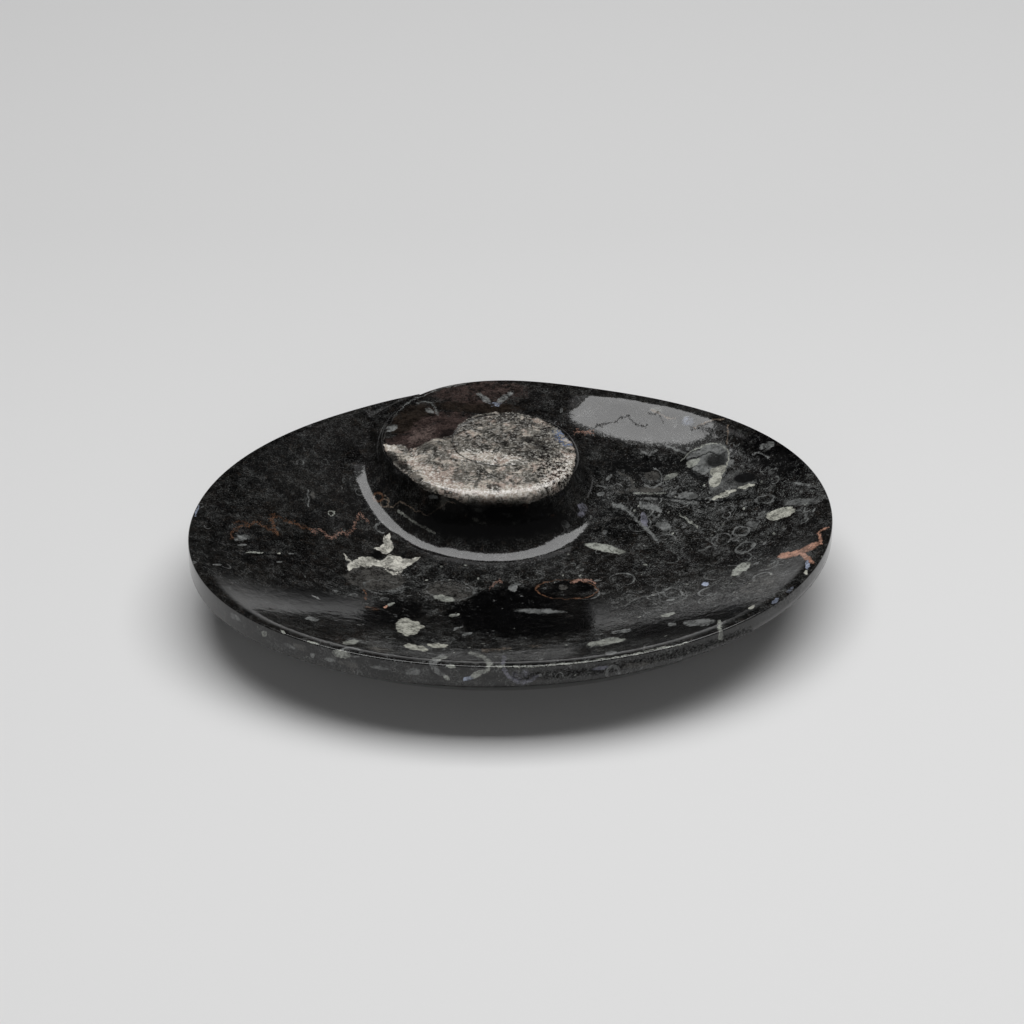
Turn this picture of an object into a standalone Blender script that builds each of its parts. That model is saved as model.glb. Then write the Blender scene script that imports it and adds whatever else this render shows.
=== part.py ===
"""A polished plate of black fossil limestone, carved from one slab as a coiled shell.

The top is one strip that winds clockwise out of the middle of the coil. Its first
turns are the flat top of the boss, then it drops behind the coil as a trough, and
the trough opens into the dish. One spiral line bounds it on both sides: a fine
groove on the boss, then the boss's edge, and in its last turn the plate's rim.
The dish ends where the rim comes back round and meets the boss's edge.
"""

import math

import bmesh
import bpy
import numpy as np
from mathutils import Vector

MM = 0.001  # one millimetre, in metres
TURN = 360.0  # degrees

# The spiral edge: degrees wound out from the groove's inner end, and the radius in
# millimetres from the coil's middle. It ends where it meets itself one turn back.
EDGE_RADIUS = [
    (-360, 4.9), (-180, 7.8), (0, 12.2), (60, 13.2), (110, 15.8), (150, 18.2),
    (206, 20.7), (266, 22.3), (306, 23.6), (350, 26.3), (390, 28.2), (425, 30.4),
    (449, 32.8), (470, 36.2), (490, 39.6), (516, 43.8), (540, 47.3), (568, 47.8),
    (598, 48.7), (616, 53.1), (640, 67.8), (668, 94.3), (699, 116.3), (728, 124.4),
    (758, 125.5), (784, 126.2), (804, 121.2), (834, 94.6), (855, 72.4), (876, 56.4),
    (900, 47.3),
]
GROOVE_DIRECTION = 306.0  # degrees from +X to the groove's inner end, seen from above
WOUND_FROM = -360.0  # where the strip starts, in the middle of the coil
WOUND_TO = 540.0  # where the strip ends, pinched between the rim and the boss

# Heights above the surface that the plate stands on, in millimetres.
RIM_HEIGHT = 26.0
TOP_HEIGHT = [  # of the stone just inside the edge
    (-360, 28.6), (0, 28.6), (206, 28.3), (306, 27.8), (390, 27.4), (450, 26.6),
    (540, RIM_HEIGHT), (900, RIM_HEIGHT),
]
FLOOR_HEIGHT = [  # of the strip's lowest line
    (-360, 28.6), (0, 28.6), (60, 28.5), (120, 28.2), (160, 27.6), (206, 25.6),
    (240, 23.2), (272, 18.0), (306, 14.0), (350, 9.8), (396, 7.8), (430, 7.8),
    (451, 9.6), (466, 13.0), (481, 17.0), (493, 20.3), (516, 24.4), (528, 25.4), (540, 25.8),
]
FILLET_WIDTH = [  # of the hollow curve from the edge down to the lowest line
    (-360, 0.4), (100, 0.4), (150, 1.6), (206, 5.0), (250, 7.5), (306, 9.5),
    (396, 10.5), (450, 9.5), (493, 9.0), (540, 5.0),
]
SHOULDER_WIDTH = [  # of the rounding just inside the edge
    (-360, 0.4), (160, 0.4), (240, 0.6), (306, 2.6), (360, 5.0), (396, 6.0),
    (440, 3.0), (474, 0.8), (540, 0.5), (900, 0.5),
]
SHOULDER_DROP = [
    (-360, 0.0), (0, 0.0), (50, 0.4), (160, 0.4), (240, 0.6), (306, 1.8),
    (360, 3.0), (396, 3.4), (440, 2.0), (474, 0.7), (540, 0.5), (900, 0.5),
]
LIP_WIDTH = [  # of the nearly level band just inside the rim's rounding
    (-360, 0.5), (540, 0.5), (585, 5.0), (620, 7.5), (660, 7.0), (700, 5.0),
    (860, 4.0), (900, 0.5),
]
DISH_POWER = [  # the dish rises to the rim as this power of the way out
    (-360, 1.6), (220, 1.6), (250, 1.8), (285, 2.7), (320, 2.6), (380, 2.0),
    (430, 2.0), (456, 1.3), (480, 0.95), (500, 0.85), (540, 0.85),
]
SIDE_BAND = [  # height of the plate's upright side, along the edge's last turn
    (540, 9.0), (600, 6.5), (660, 4.2), (720, 4.6), (770, 6.6), (830, 6.8),
    (870, 8.4), (900, 9.0),
]
LIP_SLOPE = 0.1  # of the dish's slope where the lip starts
MOST_FILLET = 0.55  # of the strip's width
MOST_SHOULDER = 0.25  # of the strip's width
MOST_LIP = 0.25  # of the dish's width

# The underside: a shallow bowl down to a flat base of the outline's own shape.
BASE_SHARE = 0.6  # of the outline
BOWL_POWER = 1.6  # the bowl's height falls as this power of the way in

COLUMNS_PER_TURN = 80
FILLET_ROWS = 6
DISH_ROWS = 8
LIP_ROWS = 3
SHOULDER_ROWS = 3
BOWL_ROWS = 6
WELD = 0.01 * MM

STONE_COLOUR = (0.012, 0.012, 0.013, 1.0)
STONE_ROUGHNESS = 0.08
STONE_IOR = 1.55
SHARP_ANGLE = math.radians(35.0)


def natural_spline(points):
    """A smooth spline through (place, value) points, as a function of place."""
    place, value = (np.array(column, float) for column in zip(*points))
    gap = np.diff(place)
    slope = np.diff(value) / gap
    system = np.eye(len(place))
    change = np.zeros(len(place))
    for i in range(1, len(place) - 1):
        system[i, i - 1 : i + 2] = gap[i - 1], 2 * (gap[i - 1] + gap[i]), gap[i]
        change[i] = 6 * (slope[i] - slope[i - 1])
    bend = np.linalg.solve(system, change)

    def at(where):
        i = int(np.clip(np.searchsorted(place, where) - 1, 0, len(gap) - 1))
        ahead = place[i + 1] - where
        behind = where - place[i]
        curve = (bend[i] * ahead**3 + bend[i + 1] * behind**3) / (6 * gap[i])
        start = (value[i] / gap[i] - bend[i] * gap[i] / 6) * ahead
        end = (value[i + 1] / gap[i] - bend[i + 1] * gap[i] / 6) * behind
        return curve + start + end

    return at


def steady_curve(points):
    """A smooth curve through (place, value) points that never swings past them."""
    place, value = (np.array(column, float) for column in zip(*points))
    gap = np.diff(place)
    slope = np.diff(value) / gap
    tangent = np.zeros(len(place))
    for i in range(1, len(place) - 1):
        if slope[i - 1] * slope[i] > 0:
            before = 2 * gap[i] + gap[i - 1]
            after = gap[i] + 2 * gap[i - 1]
            tangent[i] = (before + after) / (before / slope[i - 1] + after / slope[i])

    def at(where):
        i = int(np.clip(np.searchsorted(place, where) - 1, 0, len(gap) - 1))
        share = float(np.clip((where - place[i]) / gap[i], 0.0, 1.0))
        rest = 1.0 - share
        start = value[i] * (1 + 2 * share) + tangent[i] * gap[i] * share
        end = value[i + 1] * (1 + 2 * rest) - tangent[i + 1] * gap[i] * rest
        return start * rest**2 + end * share**2

    return at


edge_radius = natural_spline(EDGE_RADIUS)
top_height = steady_curve(TOP_HEIGHT)
floor_height = steady_curve(FLOOR_HEIGHT)
fillet_width = steady_curve(FILLET_WIDTH)
shoulder_width = steady_curve(SHOULDER_WIDTH)
shoulder_drop = steady_curve(SHOULDER_DROP)
lip_width = steady_curve(LIP_WIDTH)
dish_power = steady_curve(DISH_POWER)
side_band = steady_curve(SIDE_BAND)


def edge_height(wound):
    """Height of the spiral edge itself, below its rounded shoulder."""
    return top_height(wound) - shoulder_drop(wound)


def dish_rise(share, lip, power):
    """How far the dish has risen at a share of the way out, before dividing by its end."""
    start = 1.0 - lip
    slope = power * start ** (power - 1)
    easing = slope * (1 - LIP_SLOPE) / (2 * lip)
    beyond = max(share - start, 0.0)
    return min(share, start) ** power + slope * beyond - easing * beyond**2


def section_point(wound, row):
    """Radius and height of one row of the strip's section, from edge to edge."""
    inner = edge_radius(wound)
    width = max(edge_radius(wound + TURN) - inner, 0.0)
    fillet = min(fillet_width(wound), MOST_FILLET * width)
    shoulder = min(shoulder_width(wound + TURN), MOST_SHOULDER * width)
    start = edge_height(wound)
    floor = floor_height(wound)
    top = top_height(wound + TURN)
    drop = shoulder_drop(wound + TURN)
    if width < 2 * WELD / MM:
        return inner, start
    if row <= FILLET_ROWS:
        angle = math.pi / 2 * row / FILLET_ROWS
        radius = inner + fillet * (1 - math.cos(angle))
        return radius, start - (start - floor) * math.sin(angle)
    past = row - FILLET_ROWS
    if past <= DISH_ROWS + LIP_ROWS:
        dish = width - fillet - shoulder
        lip = min(lip_width(wound + TURN) / dish, MOST_LIP)
        share = min(past / DISH_ROWS, 1.0) * (1 - lip)
        share += max(past - DISH_ROWS, 0) / LIP_ROWS * lip
        power = dish_power(wound)
        rise = dish_rise(share, lip, power) / dish_rise(1.0, lip, power)
        return inner + fillet + share * dish, floor + (top - floor) * rise
    angle = math.pi / 2 * (past - DISH_ROWS - LIP_ROWS) / SHOULDER_ROWS
    radius = inner + width - shoulder * (1 - math.sin(angle))
    return radius, top - drop * (1 - math.cos(angle))


def wind_strip(bm):
    """The whole top surface: a flat grid wound up round the coil's middle."""
    columns = round((WOUND_TO - WOUND_FROM) / TURN * COLUMNS_PER_TURN)
    rows = FILLET_ROWS + DISH_ROWS + LIP_ROWS + SHOULDER_ROWS
    bmesh.ops.create_grid(bm, x_segments=columns, y_segments=rows, size=0.5)
    for vert in bm.verts:
        column = round((vert.co.x + 0.5) * columns)
        row = round((vert.co.y + 0.5) * rows)
        wound = WOUND_FROM + column * TURN / COLUMNS_PER_TURN
        radius, height = section_point(wound, row)
        angle = math.radians(GROOVE_DIRECTION - wound)
        vert.co.x = radius * math.cos(angle) * MM
        vert.co.y = radius * math.sin(angle) * MM
        vert.co.z = height * MM
    bmesh.ops.remove_doubles(bm, verts=bm.verts, dist=WELD)


def open_edges(bm, inside):
    """The mesh's open edges in the middle of the coil, or else those of the rim."""
    middle = edge_radius(0.0) * MM + WELD
    found = []
    for edge in bm.edges:
        reach = max(vert.co.xy.length for vert in edge.verts)
        if edge.is_boundary and (reach <= middle) == inside:
            found.append(edge)
    return found


def pull_loop(bm, loop, place):
    """Extrudes an open loop, moves each new point by the rule, and returns the loop."""
    made = bmesh.ops.extrude_edge_only(bm, edges=loop)["geom"]
    for vert in made:
        if isinstance(vert, bmesh.types.BMVert):
            vert.co = place(vert.co)
    edges = [item for item in made if isinstance(item, bmesh.types.BMEdge)]
    return [edge for edge in edges if edge.is_boundary]


def below_rim(point):
    """The lower edge of the upright side, straight under a point of the rim."""
    direction = math.degrees(math.atan2(point.y, point.x))
    wound = WOUND_TO + (GROOVE_DIRECTION - WOUND_TO - direction) % TURN
    lower = point.copy()
    lower.z -= side_band(wound) * MM
    return lower


def add_side_and_bowl(bm, centre):
    """The plate's upright side, its bowl-shaped underside and its flat base."""
    loop = pull_loop(bm, open_edges(bm, inside=False), below_rim)
    share = 1.0
    height = 1.0
    for row in range(1, BOWL_ROWS + 1):
        inward = row / BOWL_ROWS
        next_share = 1.0 - (1.0 - BASE_SHARE) * inward
        next_height = (1.0 - inward) ** BOWL_POWER
        narrow = next_share / share
        lower = next_height / height

        def step_in(point):
            moved = centre + (point - centre) * narrow
            moved.z = point.z * lower
            return moved

        loop = pull_loop(bm, loop, step_in)
        share = next_share
        height = next_height
    bmesh.ops.contextual_create(bm, geom=loop)


def outline_centre(bm):
    """The middle of the plate's outline, seen from above."""
    across = [vert.co.x for vert in bm.verts]
    along = [vert.co.y for vert in bm.verts]
    return Vector(((min(across) + max(across)) / 2, (min(along) + max(along)) / 2, 0.0))


def stone_material():
    """Black limestone, ground and polished."""
    material = bpy.data.materials.new("polished_limestone")
    material.use_nodes = True
    shader = material.node_tree.nodes["Principled BSDF"]
    shader.inputs["Base Color"].default_value = STONE_COLOUR
    shader.inputs["Roughness"].default_value = STONE_ROUGHNESS
    shader.inputs["IOR"].default_value = STONE_IOR
    return material


def fossil_plate(collection):
    """The plate, standing on z = 0 with its outline centred over the origin."""
    bm = bmesh.new()
    wind_strip(bm)
    bmesh.ops.contextual_create(bm, geom=open_edges(bm, inside=True))
    centre = outline_centre(bm)
    add_side_and_bowl(bm, centre)
    bmesh.ops.translate(bm, verts=bm.verts, vec=-centre)
    bmesh.ops.recalc_face_normals(bm, faces=bm.faces)
    mesh = bpy.data.meshes.new("fossil_plate")
    bm.to_mesh(mesh)
    bm.free()
    mesh.materials.append(stone_material())
    mesh.shade_smooth()
    mesh.set_sharp_from_angle(angle=SHARP_ANGLE)
    plate = bpy.data.objects.new("fossil_plate", mesh)
    collection.objects.link(plate)
    return plate


def main():
    for old in list(bpy.data.objects):
        bpy.data.objects.remove(old)
    collection = bpy.data.collections.new("polished_ammonite_plate")
    bpy.context.scene.collection.children.link(collection)
    fossil_plate(collection)


main()
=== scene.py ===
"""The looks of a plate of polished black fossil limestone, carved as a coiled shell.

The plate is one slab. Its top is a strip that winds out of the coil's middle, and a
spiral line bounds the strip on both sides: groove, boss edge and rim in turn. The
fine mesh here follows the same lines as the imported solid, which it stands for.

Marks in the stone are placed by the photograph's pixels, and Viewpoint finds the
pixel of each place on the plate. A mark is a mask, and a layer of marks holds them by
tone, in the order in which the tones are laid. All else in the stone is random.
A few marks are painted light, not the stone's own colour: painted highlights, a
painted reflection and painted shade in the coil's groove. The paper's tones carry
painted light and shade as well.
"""

import logging
import math
from dataclasses import dataclass
from enum import Enum
from typing import Callable, ClassVar, Sequence

import bmesh
import bpy
import numpy as np
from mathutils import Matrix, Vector


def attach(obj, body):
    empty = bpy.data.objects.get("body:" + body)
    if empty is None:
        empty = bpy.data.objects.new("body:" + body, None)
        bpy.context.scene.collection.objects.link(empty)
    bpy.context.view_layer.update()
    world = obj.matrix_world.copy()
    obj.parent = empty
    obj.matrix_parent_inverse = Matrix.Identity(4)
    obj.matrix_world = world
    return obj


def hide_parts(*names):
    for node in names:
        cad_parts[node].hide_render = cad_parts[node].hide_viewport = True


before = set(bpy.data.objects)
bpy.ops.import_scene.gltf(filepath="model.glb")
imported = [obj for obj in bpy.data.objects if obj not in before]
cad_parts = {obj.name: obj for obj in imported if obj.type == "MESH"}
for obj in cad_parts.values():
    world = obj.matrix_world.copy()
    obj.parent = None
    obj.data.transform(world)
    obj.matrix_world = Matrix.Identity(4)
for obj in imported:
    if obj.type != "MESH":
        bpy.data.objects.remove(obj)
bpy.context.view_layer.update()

MM = 0.001  # one millimetre, in metres
TURN = 360.0  # degrees

log = logging.getLogger("plate")

Points = Sequence[tuple[float, float]]
Loop = list[bmesh.types.BMEdge]
Socket = bpy.types.NodeSocket
Value = float | Socket
Place = tuple[float, float]
Triple = tuple[float, float, float]


def grey(tone: float) -> tuple[float, float, float, float]:
    """A plain grey, with nothing see-through."""
    return tone, tone, tone, 1.0


def finished_mesh(bm: bmesh.types.BMesh, name: str) -> bpy.types.Mesh:
    """Turns a mesh's faces outwards and ends the work on it.

    Args:
        bm: The mesh being worked on.
        name: The finished mesh's name.

    Returns:
        The finished mesh, shaded smooth.
    """
    bmesh.ops.recalc_face_normals(bm, faces=bm.faces)
    mesh = bpy.data.meshes.new(name)
    bm.to_mesh(mesh)
    bm.free()
    mesh.shade_smooth()
    return mesh


def placed(name: str, data: bpy.types.ID) -> bpy.types.Object:
    """Puts a mesh, a light or a camera into the scene.

    Args:
        name: The object's name.
        data: What it shows or gives.

    Returns:
        The object.
    """
    made = bpy.data.objects.new(name, data)
    bpy.context.scene.collection.objects.link(made)
    return made


@dataclass(frozen=True)
class Course:
    """A value that changes along the spiral edge, through a few chosen points.

    Attributes:
        points: (degrees wound out, value) pairs, in order.
        steady: Whether the curve never swings past its points.
    """

    points: Points
    steady: bool = True

    def tangents(self, place: np.ndarray, value: np.ndarray) -> np.ndarray:
        """Slope of the curve at each of its points.

        Args:
            place: Degrees wound out at the points.
            value: The value at the points.

        Returns:
            One slope for each point.
        """
        gap = np.diff(place)
        slope = np.diff(value) / gap
        found = np.zeros(len(place))
        if self.steady:
            before, after = slope[:-1], slope[1:]
            near = 2 * gap[1:] + gap[:-1]
            far = gap[1:] + 2 * gap[:-1]
            same_way = before * after > 0
            safe_before = np.where(same_way, before, 1.0)
            safe_after = np.where(same_way, after, 1.0)
            mean = (near + far) / (near / safe_before + far / safe_after)
            found[1:-1] = np.where(same_way, mean, 0.0)
            return found
        system = np.eye(len(place)) * 2.0
        system[0, 1] = system[-1, -2] = 1.0
        change = np.zeros(len(place))
        change[0], change[-1] = 3 * slope[0], 3 * slope[-1]
        for i in range(1, len(place) - 1):
            system[i, i - 1] = 1 / gap[i - 1]
            system[i, i] = 2 * (1 / gap[i - 1] + 1 / gap[i])
            system[i, i + 1] = 1 / gap[i]
            change[i] = 3 * (slope[i - 1] / gap[i - 1] + slope[i] / gap[i])
        return np.linalg.solve(system, change)

    def at(self, wound: np.ndarray) -> np.ndarray:
        """The value at any places along the edge.

        Args:
            wound: Degrees wound out.

        Returns:
            The value at each of them.
        """
        place, value = (np.array(column, float) for column in zip(*self.points))
        tangent = self.tangents(place, value)
        gap = np.diff(place)
        i = np.clip(np.searchsorted(place, wound) - 1, 0, len(gap) - 1)
        share = np.clip((wound - place[i]) / gap[i], 0.0, 1.0)
        rest = 1.0 - share
        start = value[i] * (1 + 2 * share) + tangent[i] * gap[i] * share
        end = value[i + 1] * (1 + 2 * rest) - tangent[i + 1] * gap[i] * rest
        return start * rest**2 + end * share**2


@dataclass(frozen=True)
class SpiralForm:
    """Lines and sections of the carving, in millimetres from the coil's middle.

    Places along the spiral edge are degrees wound out from the groove's inner end,
    clockwise seen from above. A section runs from the edge at one place out to the
    edge one turn further on.

    Attributes:
        groove_direction: Direction of the groove's inner end, in degrees.
        wound_from: Where the strip starts, in the middle of the coil.
        wound_to: Where it ends. The rim is the edge's last turn, beyond this.
        edge: Radius of the spiral edge.
        top: Height that the edge would have without its rounded shoulder.
        floor: Height of a section's lowest line.
        fillet: Width of the hollow curve at the foot of the edge.
        shoulder: Width of the rounded shoulder at a section's outer edge.
        shoulder_drop: How far that shoulder falls.
        lip: Width of the nearly level band just inside the outer edge.
        dish_power: A section rises as this power of the way out.
        side_band: Height of the upright side under the rim.
        lip_slope: Share of the dish's slope that is left at the lip's outer end.
        most_fillet: Most that the hollow curve takes of a section's width.
        most_shoulder: Most that the shoulder takes of it.
        most_lip: Most that the lip takes of the dish's width.
        least_dish: Least width of the dish between the two curves.
        pinched_width: A section narrower than this is one point, on the edge.
    """

    groove_direction: float = 306.0
    wound_from: float = -360.0
    wound_to: float = 540.0
    edge: Course = Course(
        (
            (-360, 4.9), (-180, 7.8), (0, 12.2), (60, 13.2), (110, 15.8), (150, 18.2),
            (206, 20.7), (266, 22.3), (306, 23.6), (350, 26.3), (390, 28.2),
            (425, 30.4), (449, 32.8), (470, 36.2), (490, 39.6), (516, 43.8),
            (540, 47.3), (568, 47.8), (598, 48.7), (616, 53.1), (640, 67.8),
            (668, 94.3), (699, 116.3), (728, 124.4), (758, 125.5), (784, 126.2),
            (804, 121.2), (834, 94.6), (855, 72.4), (876, 56.4), (900, 47.3),
        ),
        steady=False,
    )
    top: Course = Course(
        (
            (-360, 28.6), (0, 28.6), (206, 28.3), (306, 27.8), (390, 27.4),
            (450, 26.6), (540, 26.0), (900, 26.0),
        )
    )
    floor: Course = Course(
        (
            (-360, 28.6), (0, 28.6), (60, 28.5), (120, 28.2), (160, 27.6),
            (206, 25.6), (240, 23.2), (272, 18.0), (306, 14.0), (350, 9.8),
            (396, 7.8), (430, 7.8), (451, 9.6), (466, 13.0), (481, 17.0),
            (493, 20.3), (516, 24.4), (528, 25.4), (540, 25.8),
        )
    )
    fillet: Course = Course(
        (
            (-360, 0.4), (100, 0.4), (150, 1.6), (206, 5.0), (250, 7.5), (306, 9.5),
            (396, 10.5), (450, 9.5), (493, 9.0), (540, 5.0),
        )
    )
    shoulder: Course = Course(
        (
            (-360, 0.4), (160, 0.4), (240, 0.6), (306, 2.6), (360, 5.0), (396, 6.0),
            (440, 3.0), (474, 0.8), (540, 0.5), (900, 0.5),
        )
    )
    shoulder_drop: Course = Course(
        (
            (-360, 0.0), (0, 0.0), (50, 0.4), (160, 0.4), (240, 0.6), (306, 1.8),
            (360, 3.0), (396, 3.4), (440, 2.0), (474, 0.7), (540, 0.5), (900, 0.5),
        )
    )
    lip: Course = Course(
        (
            (-360, 0.5), (200, 0.5), (540, 0.5), (585, 5.0), (620, 7.5), (660, 7.0),
            (700, 5.0), (860, 4.0), (900, 0.5),
        )
    )
    dish_power: Course = Course(
        (
            (-360, 1.6), (220, 1.6), (250, 1.8), (285, 2.7), (320, 2.6), (380, 2.0),
            (430, 2.0), (456, 1.3), (480, 0.95), (500, 0.85), (540, 0.85),
        )
    )
    side_band: Course = Course(
        (
            (540, 9.0), (600, 6.5), (660, 4.2), (720, 4.6), (770, 6.6), (830, 6.8),
            (870, 8.4), (900, 9.0),
        )
    )
    lip_slope: float = 0.1
    most_fillet: float = 0.55
    most_shoulder: float = 0.25
    most_lip: float = 0.25
    least_dish: float = 1e-6
    pinched_width: float = 0.02

    def edge_height(self, wound: np.ndarray) -> np.ndarray:
        """Height of the spiral edge itself, below its rounded shoulder."""
        return self.top.at(wound) - self.shoulder_drop.at(wound)

    def dish_rise(
        self, share: np.ndarray, lip: np.ndarray, power: np.ndarray
    ) -> np.ndarray:
        """How far the dish has risen towards the rim.

        Args:
            share: Share of the way from the lowest line to the rim's rounding.
            lip: Share of that way over which the rise eases off.
            power: The rise goes as this power of the share.

        Returns:
            Share of the rise, from 0 to 1.
        """
        start = 1.0 - lip
        slope = power * start ** (power - 1)
        easing = slope * (1 - self.lip_slope) / (2 * lip)

        def rise(where: np.ndarray) -> np.ndarray:
            """The rise at some shares of the way, before it is scaled to end at 1."""
            beyond = np.maximum(where - start, 0.0)
            before = np.minimum(where, start)
            return before**power + slope * beyond - easing * beyond**2

        return rise(share) / rise(np.ones_like(share))

    def section(
        self, wound: np.ndarray, row: np.ndarray, rows: "SectionRows"
    ) -> tuple[np.ndarray, np.ndarray]:
        """Points of the strip's sections.

        Args:
            wound: Degrees wound out to each point's section.
            row: Each point's row, counted from the inner edge.
            rows: How many rows each stretch of a section has.

        Returns:
            Radius and height of each point.
        """
        inner = self.edge.at(wound)
        outer_place = wound + TURN
        width = np.maximum(self.edge.at(outer_place) - inner, 0.0)
        fillet = np.minimum(self.fillet.at(wound), self.most_fillet * width)
        shoulder = np.minimum(self.shoulder.at(outer_place), self.most_shoulder * width)
        dish = np.maximum(width - fillet - shoulder, self.least_dish)
        lip = np.minimum(self.lip.at(outer_place) / dish, self.most_lip)
        start = self.edge_height(wound)
        floor = self.floor.at(wound)
        top = self.top.at(outer_place)
        drop = self.shoulder_drop.at(outer_place)

        angle = math.pi / 2 * np.clip(row / rows.fillet, 0, 1)
        radius = inner + fillet * (1 - np.cos(angle))
        height = start - (start - floor) * np.sin(angle)

        past = row - rows.fillet
        bowl = np.clip(past / rows.dish, 0, 1) * (1 - lip)
        share = bowl + np.clip((past - rows.dish) / rows.lip, 0, 1) * lip
        in_dish = past > 0
        radius = np.where(in_dish, inner + fillet + share * dish, radius)
        rise = self.dish_rise(share, lip, self.dish_power.at(wound))
        height = np.where(in_dish, floor + (top - floor) * rise, height)

        past = past - rows.dish - rows.lip
        angle = math.pi / 2 * np.clip(past / rows.shoulder, 0, 1)
        on_shoulder = past > 0
        rounded = inner + width - shoulder * (1 - np.sin(angle))
        radius = np.where(on_shoulder, rounded, radius)
        height = np.where(on_shoulder, top - drop * (1 - np.cos(angle)), height)

        pinched = width < self.pinched_width
        radius = np.where(pinched, inner, radius)
        height = np.where(pinched, start, height)
        return radius, height


@dataclass(frozen=True)
class SectionRows:
    """How finely each stretch of a section is meshed.

    Attributes:
        fillet: Rows of the hollow curve at the edge's foot.
        dish: Rows from there to the lip.
        lip: Rows of the lip.
        shoulder: Rows of the rounded shoulder.
    """

    fillet: int = 16
    dish: int = 32
    lip: int = 8
    shoulder: int = 9

    @property
    def total(self) -> int:
        """Rows from edge to edge."""
        return self.fillet + self.dish + self.lip + self.shoulder


@dataclass
class FossilPlate:
    """The plate itself: the carved top, the upright side and the bowl below.

    Attributes:
        form: The carving's lines and sections.
        rows: How finely a section is meshed.
        columns_per_turn: Sections in each turn of the spiral.
        base_share: The flat base, as a share of the outline.
        bowl_power: The bowl's height falls as this power of the way in.
        bowl_rows: Rows of the bowl.
        side_rows: Rows of the upright side.
        weld: Points nearer than this, in metres, become one.
        sharp_angle: Faces that meet at more than this, in degrees, keep their edge.
        name: The piece's name.
    """

    form: SpiralForm = SpiralForm()
    rows: SectionRows = SectionRows()
    columns_per_turn: int = 480
    base_share: float = 0.6
    bowl_power: float = 1.6
    bowl_rows: int = 14
    side_rows: int = 3
    weld: float = 0.005 * MM
    sharp_angle: float = 50.0
    name: str = "polished_fossil_plate"

    def wind_strip(self, bm: bmesh.types.BMesh) -> None:
        """Makes the whole top surface, as a flat grid wound up round the coil.

        Args:
            bm: The mesh that gets the strip.
        """
        form = self.form
        turns = (form.wound_to - form.wound_from) / TURN
        columns = round(turns * self.columns_per_turn)
        bmesh.ops.create_grid(
            bm, x_segments=columns, y_segments=self.rows.total, size=0.5
        )
        flat = np.array([vert.co.xy for vert in bm.verts]) + 0.5
        column = np.rint(flat[:, 0] * columns)
        row = np.rint(flat[:, 1] * self.rows.total)
        wound = form.wound_from + column * TURN / self.columns_per_turn
        radius, height = form.section(wound, row, self.rows)
        angle = np.radians(form.groove_direction - wound)
        x, y = radius * np.cos(angle), radius * np.sin(angle)
        places = np.column_stack((x, y, height))
        for vert, place in zip(bm.verts, places * MM):
            vert.co = place
        bmesh.ops.remove_doubles(bm, verts=bm.verts, dist=self.weld)

    def open_loop(self, bm: bmesh.types.BMesh, in_coil: bool) -> Loop:
        """The mesh's open edges.

        Args:
            bm: The mesh.
            in_coil: Whether the middle of the coil is meant, and not the rim.

        Returns:
            The open edges there.
        """
        middle = float(self.form.edge.at(np.zeros(1))[0]) * MM + self.weld
        found = []
        for edge in bm.edges:
            reach = max(vert.co.xy.length for vert in edge.verts)
            if edge.is_boundary and (reach <= middle) == in_coil:
                found.append(edge)
        return found

    @staticmethod
    def pull(
        bm: bmesh.types.BMesh, loop: Loop, place: Callable[[Vector], Vector]
    ) -> Loop:
        """Extrudes an open loop and moves its new points.

        Args:
            bm: The mesh.
            loop: The open edges.
            place: Where a point of the old loop goes.

        Returns:
            The new open edges.
        """
        made = bmesh.ops.extrude_edge_only(bm, edges=loop)["geom"]
        for vert in made:
            if isinstance(vert, bmesh.types.BMVert):
                vert.co = place(vert.co)
        edges = [item for item in made if isinstance(item, bmesh.types.BMEdge)]
        return [edge for edge in edges if edge.is_boundary]

    def band_at(self, point: Vector) -> float:
        """Height of the upright side at a point of the rim.

        Args:
            point: The point, in metres from the coil's middle.

        Returns:
            The height, in metres.
        """
        form = self.form
        direction = math.degrees(math.atan2(point.y, point.x))
        turned = (form.groove_direction - form.wound_to - direction) % TURN
        return float(form.side_band.at(np.array([form.wound_to + turned]))[0]) * MM

    def add_side(self, bm: bmesh.types.BMesh) -> Loop:
        """Makes the upright side under the rim.

        Args:
            bm: The mesh, with the rim open.

        Returns:
            The side's open lower edge.
        """
        loop = self.open_loop(bm, in_coil=False)
        for _ in range(self.side_rows):

            def lower(point: Vector) -> Vector:
                """A point one row further down."""
                step = self.band_at(point) / self.side_rows
                return point - Vector((0.0, 0.0, step))

            loop = self.pull(bm, loop, lower)
        return loop

    def add_bowl(self, bm: bmesh.types.BMesh, loop: Loop, centre: Vector) -> None:
        """Makes the bowl-shaped underside and its flat base.

        Args:
            bm: The mesh.
            loop: The open lower edge of the side.
            centre: Middle of the plate's outline.
        """
        share, height = 1.0, 1.0
        for row in range(1, self.bowl_rows + 1):
            inward = row / self.bowl_rows
            next_share = 1.0 - (1.0 - self.base_share) * inward
            next_height = (1.0 - inward) ** self.bowl_power
            narrow, lower = next_share / share, next_height / height

            def step_in(point: Vector) -> Vector:
                """A point one row further down and in."""
                moved = centre + (point - centre) * narrow
                moved.z = point.z * lower
                return moved

            loop = self.pull(bm, loop, step_in)
            share, height = next_share, next_height
        bmesh.ops.contextual_create(bm, geom=loop)

    @staticmethod
    def outline_centre(bm: bmesh.types.BMesh) -> Vector:
        """The middle of the plate's outline, seen from above.

        Args:
            bm: The plate's mesh.

        Returns:
            The middle, at height 0.
        """
        flat = np.array([vert.co.xy for vert in bm.verts])
        middle = (flat.min(axis=0) + flat.max(axis=0)) / 2
        return Vector((middle[0], middle[1], 0.0))

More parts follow.
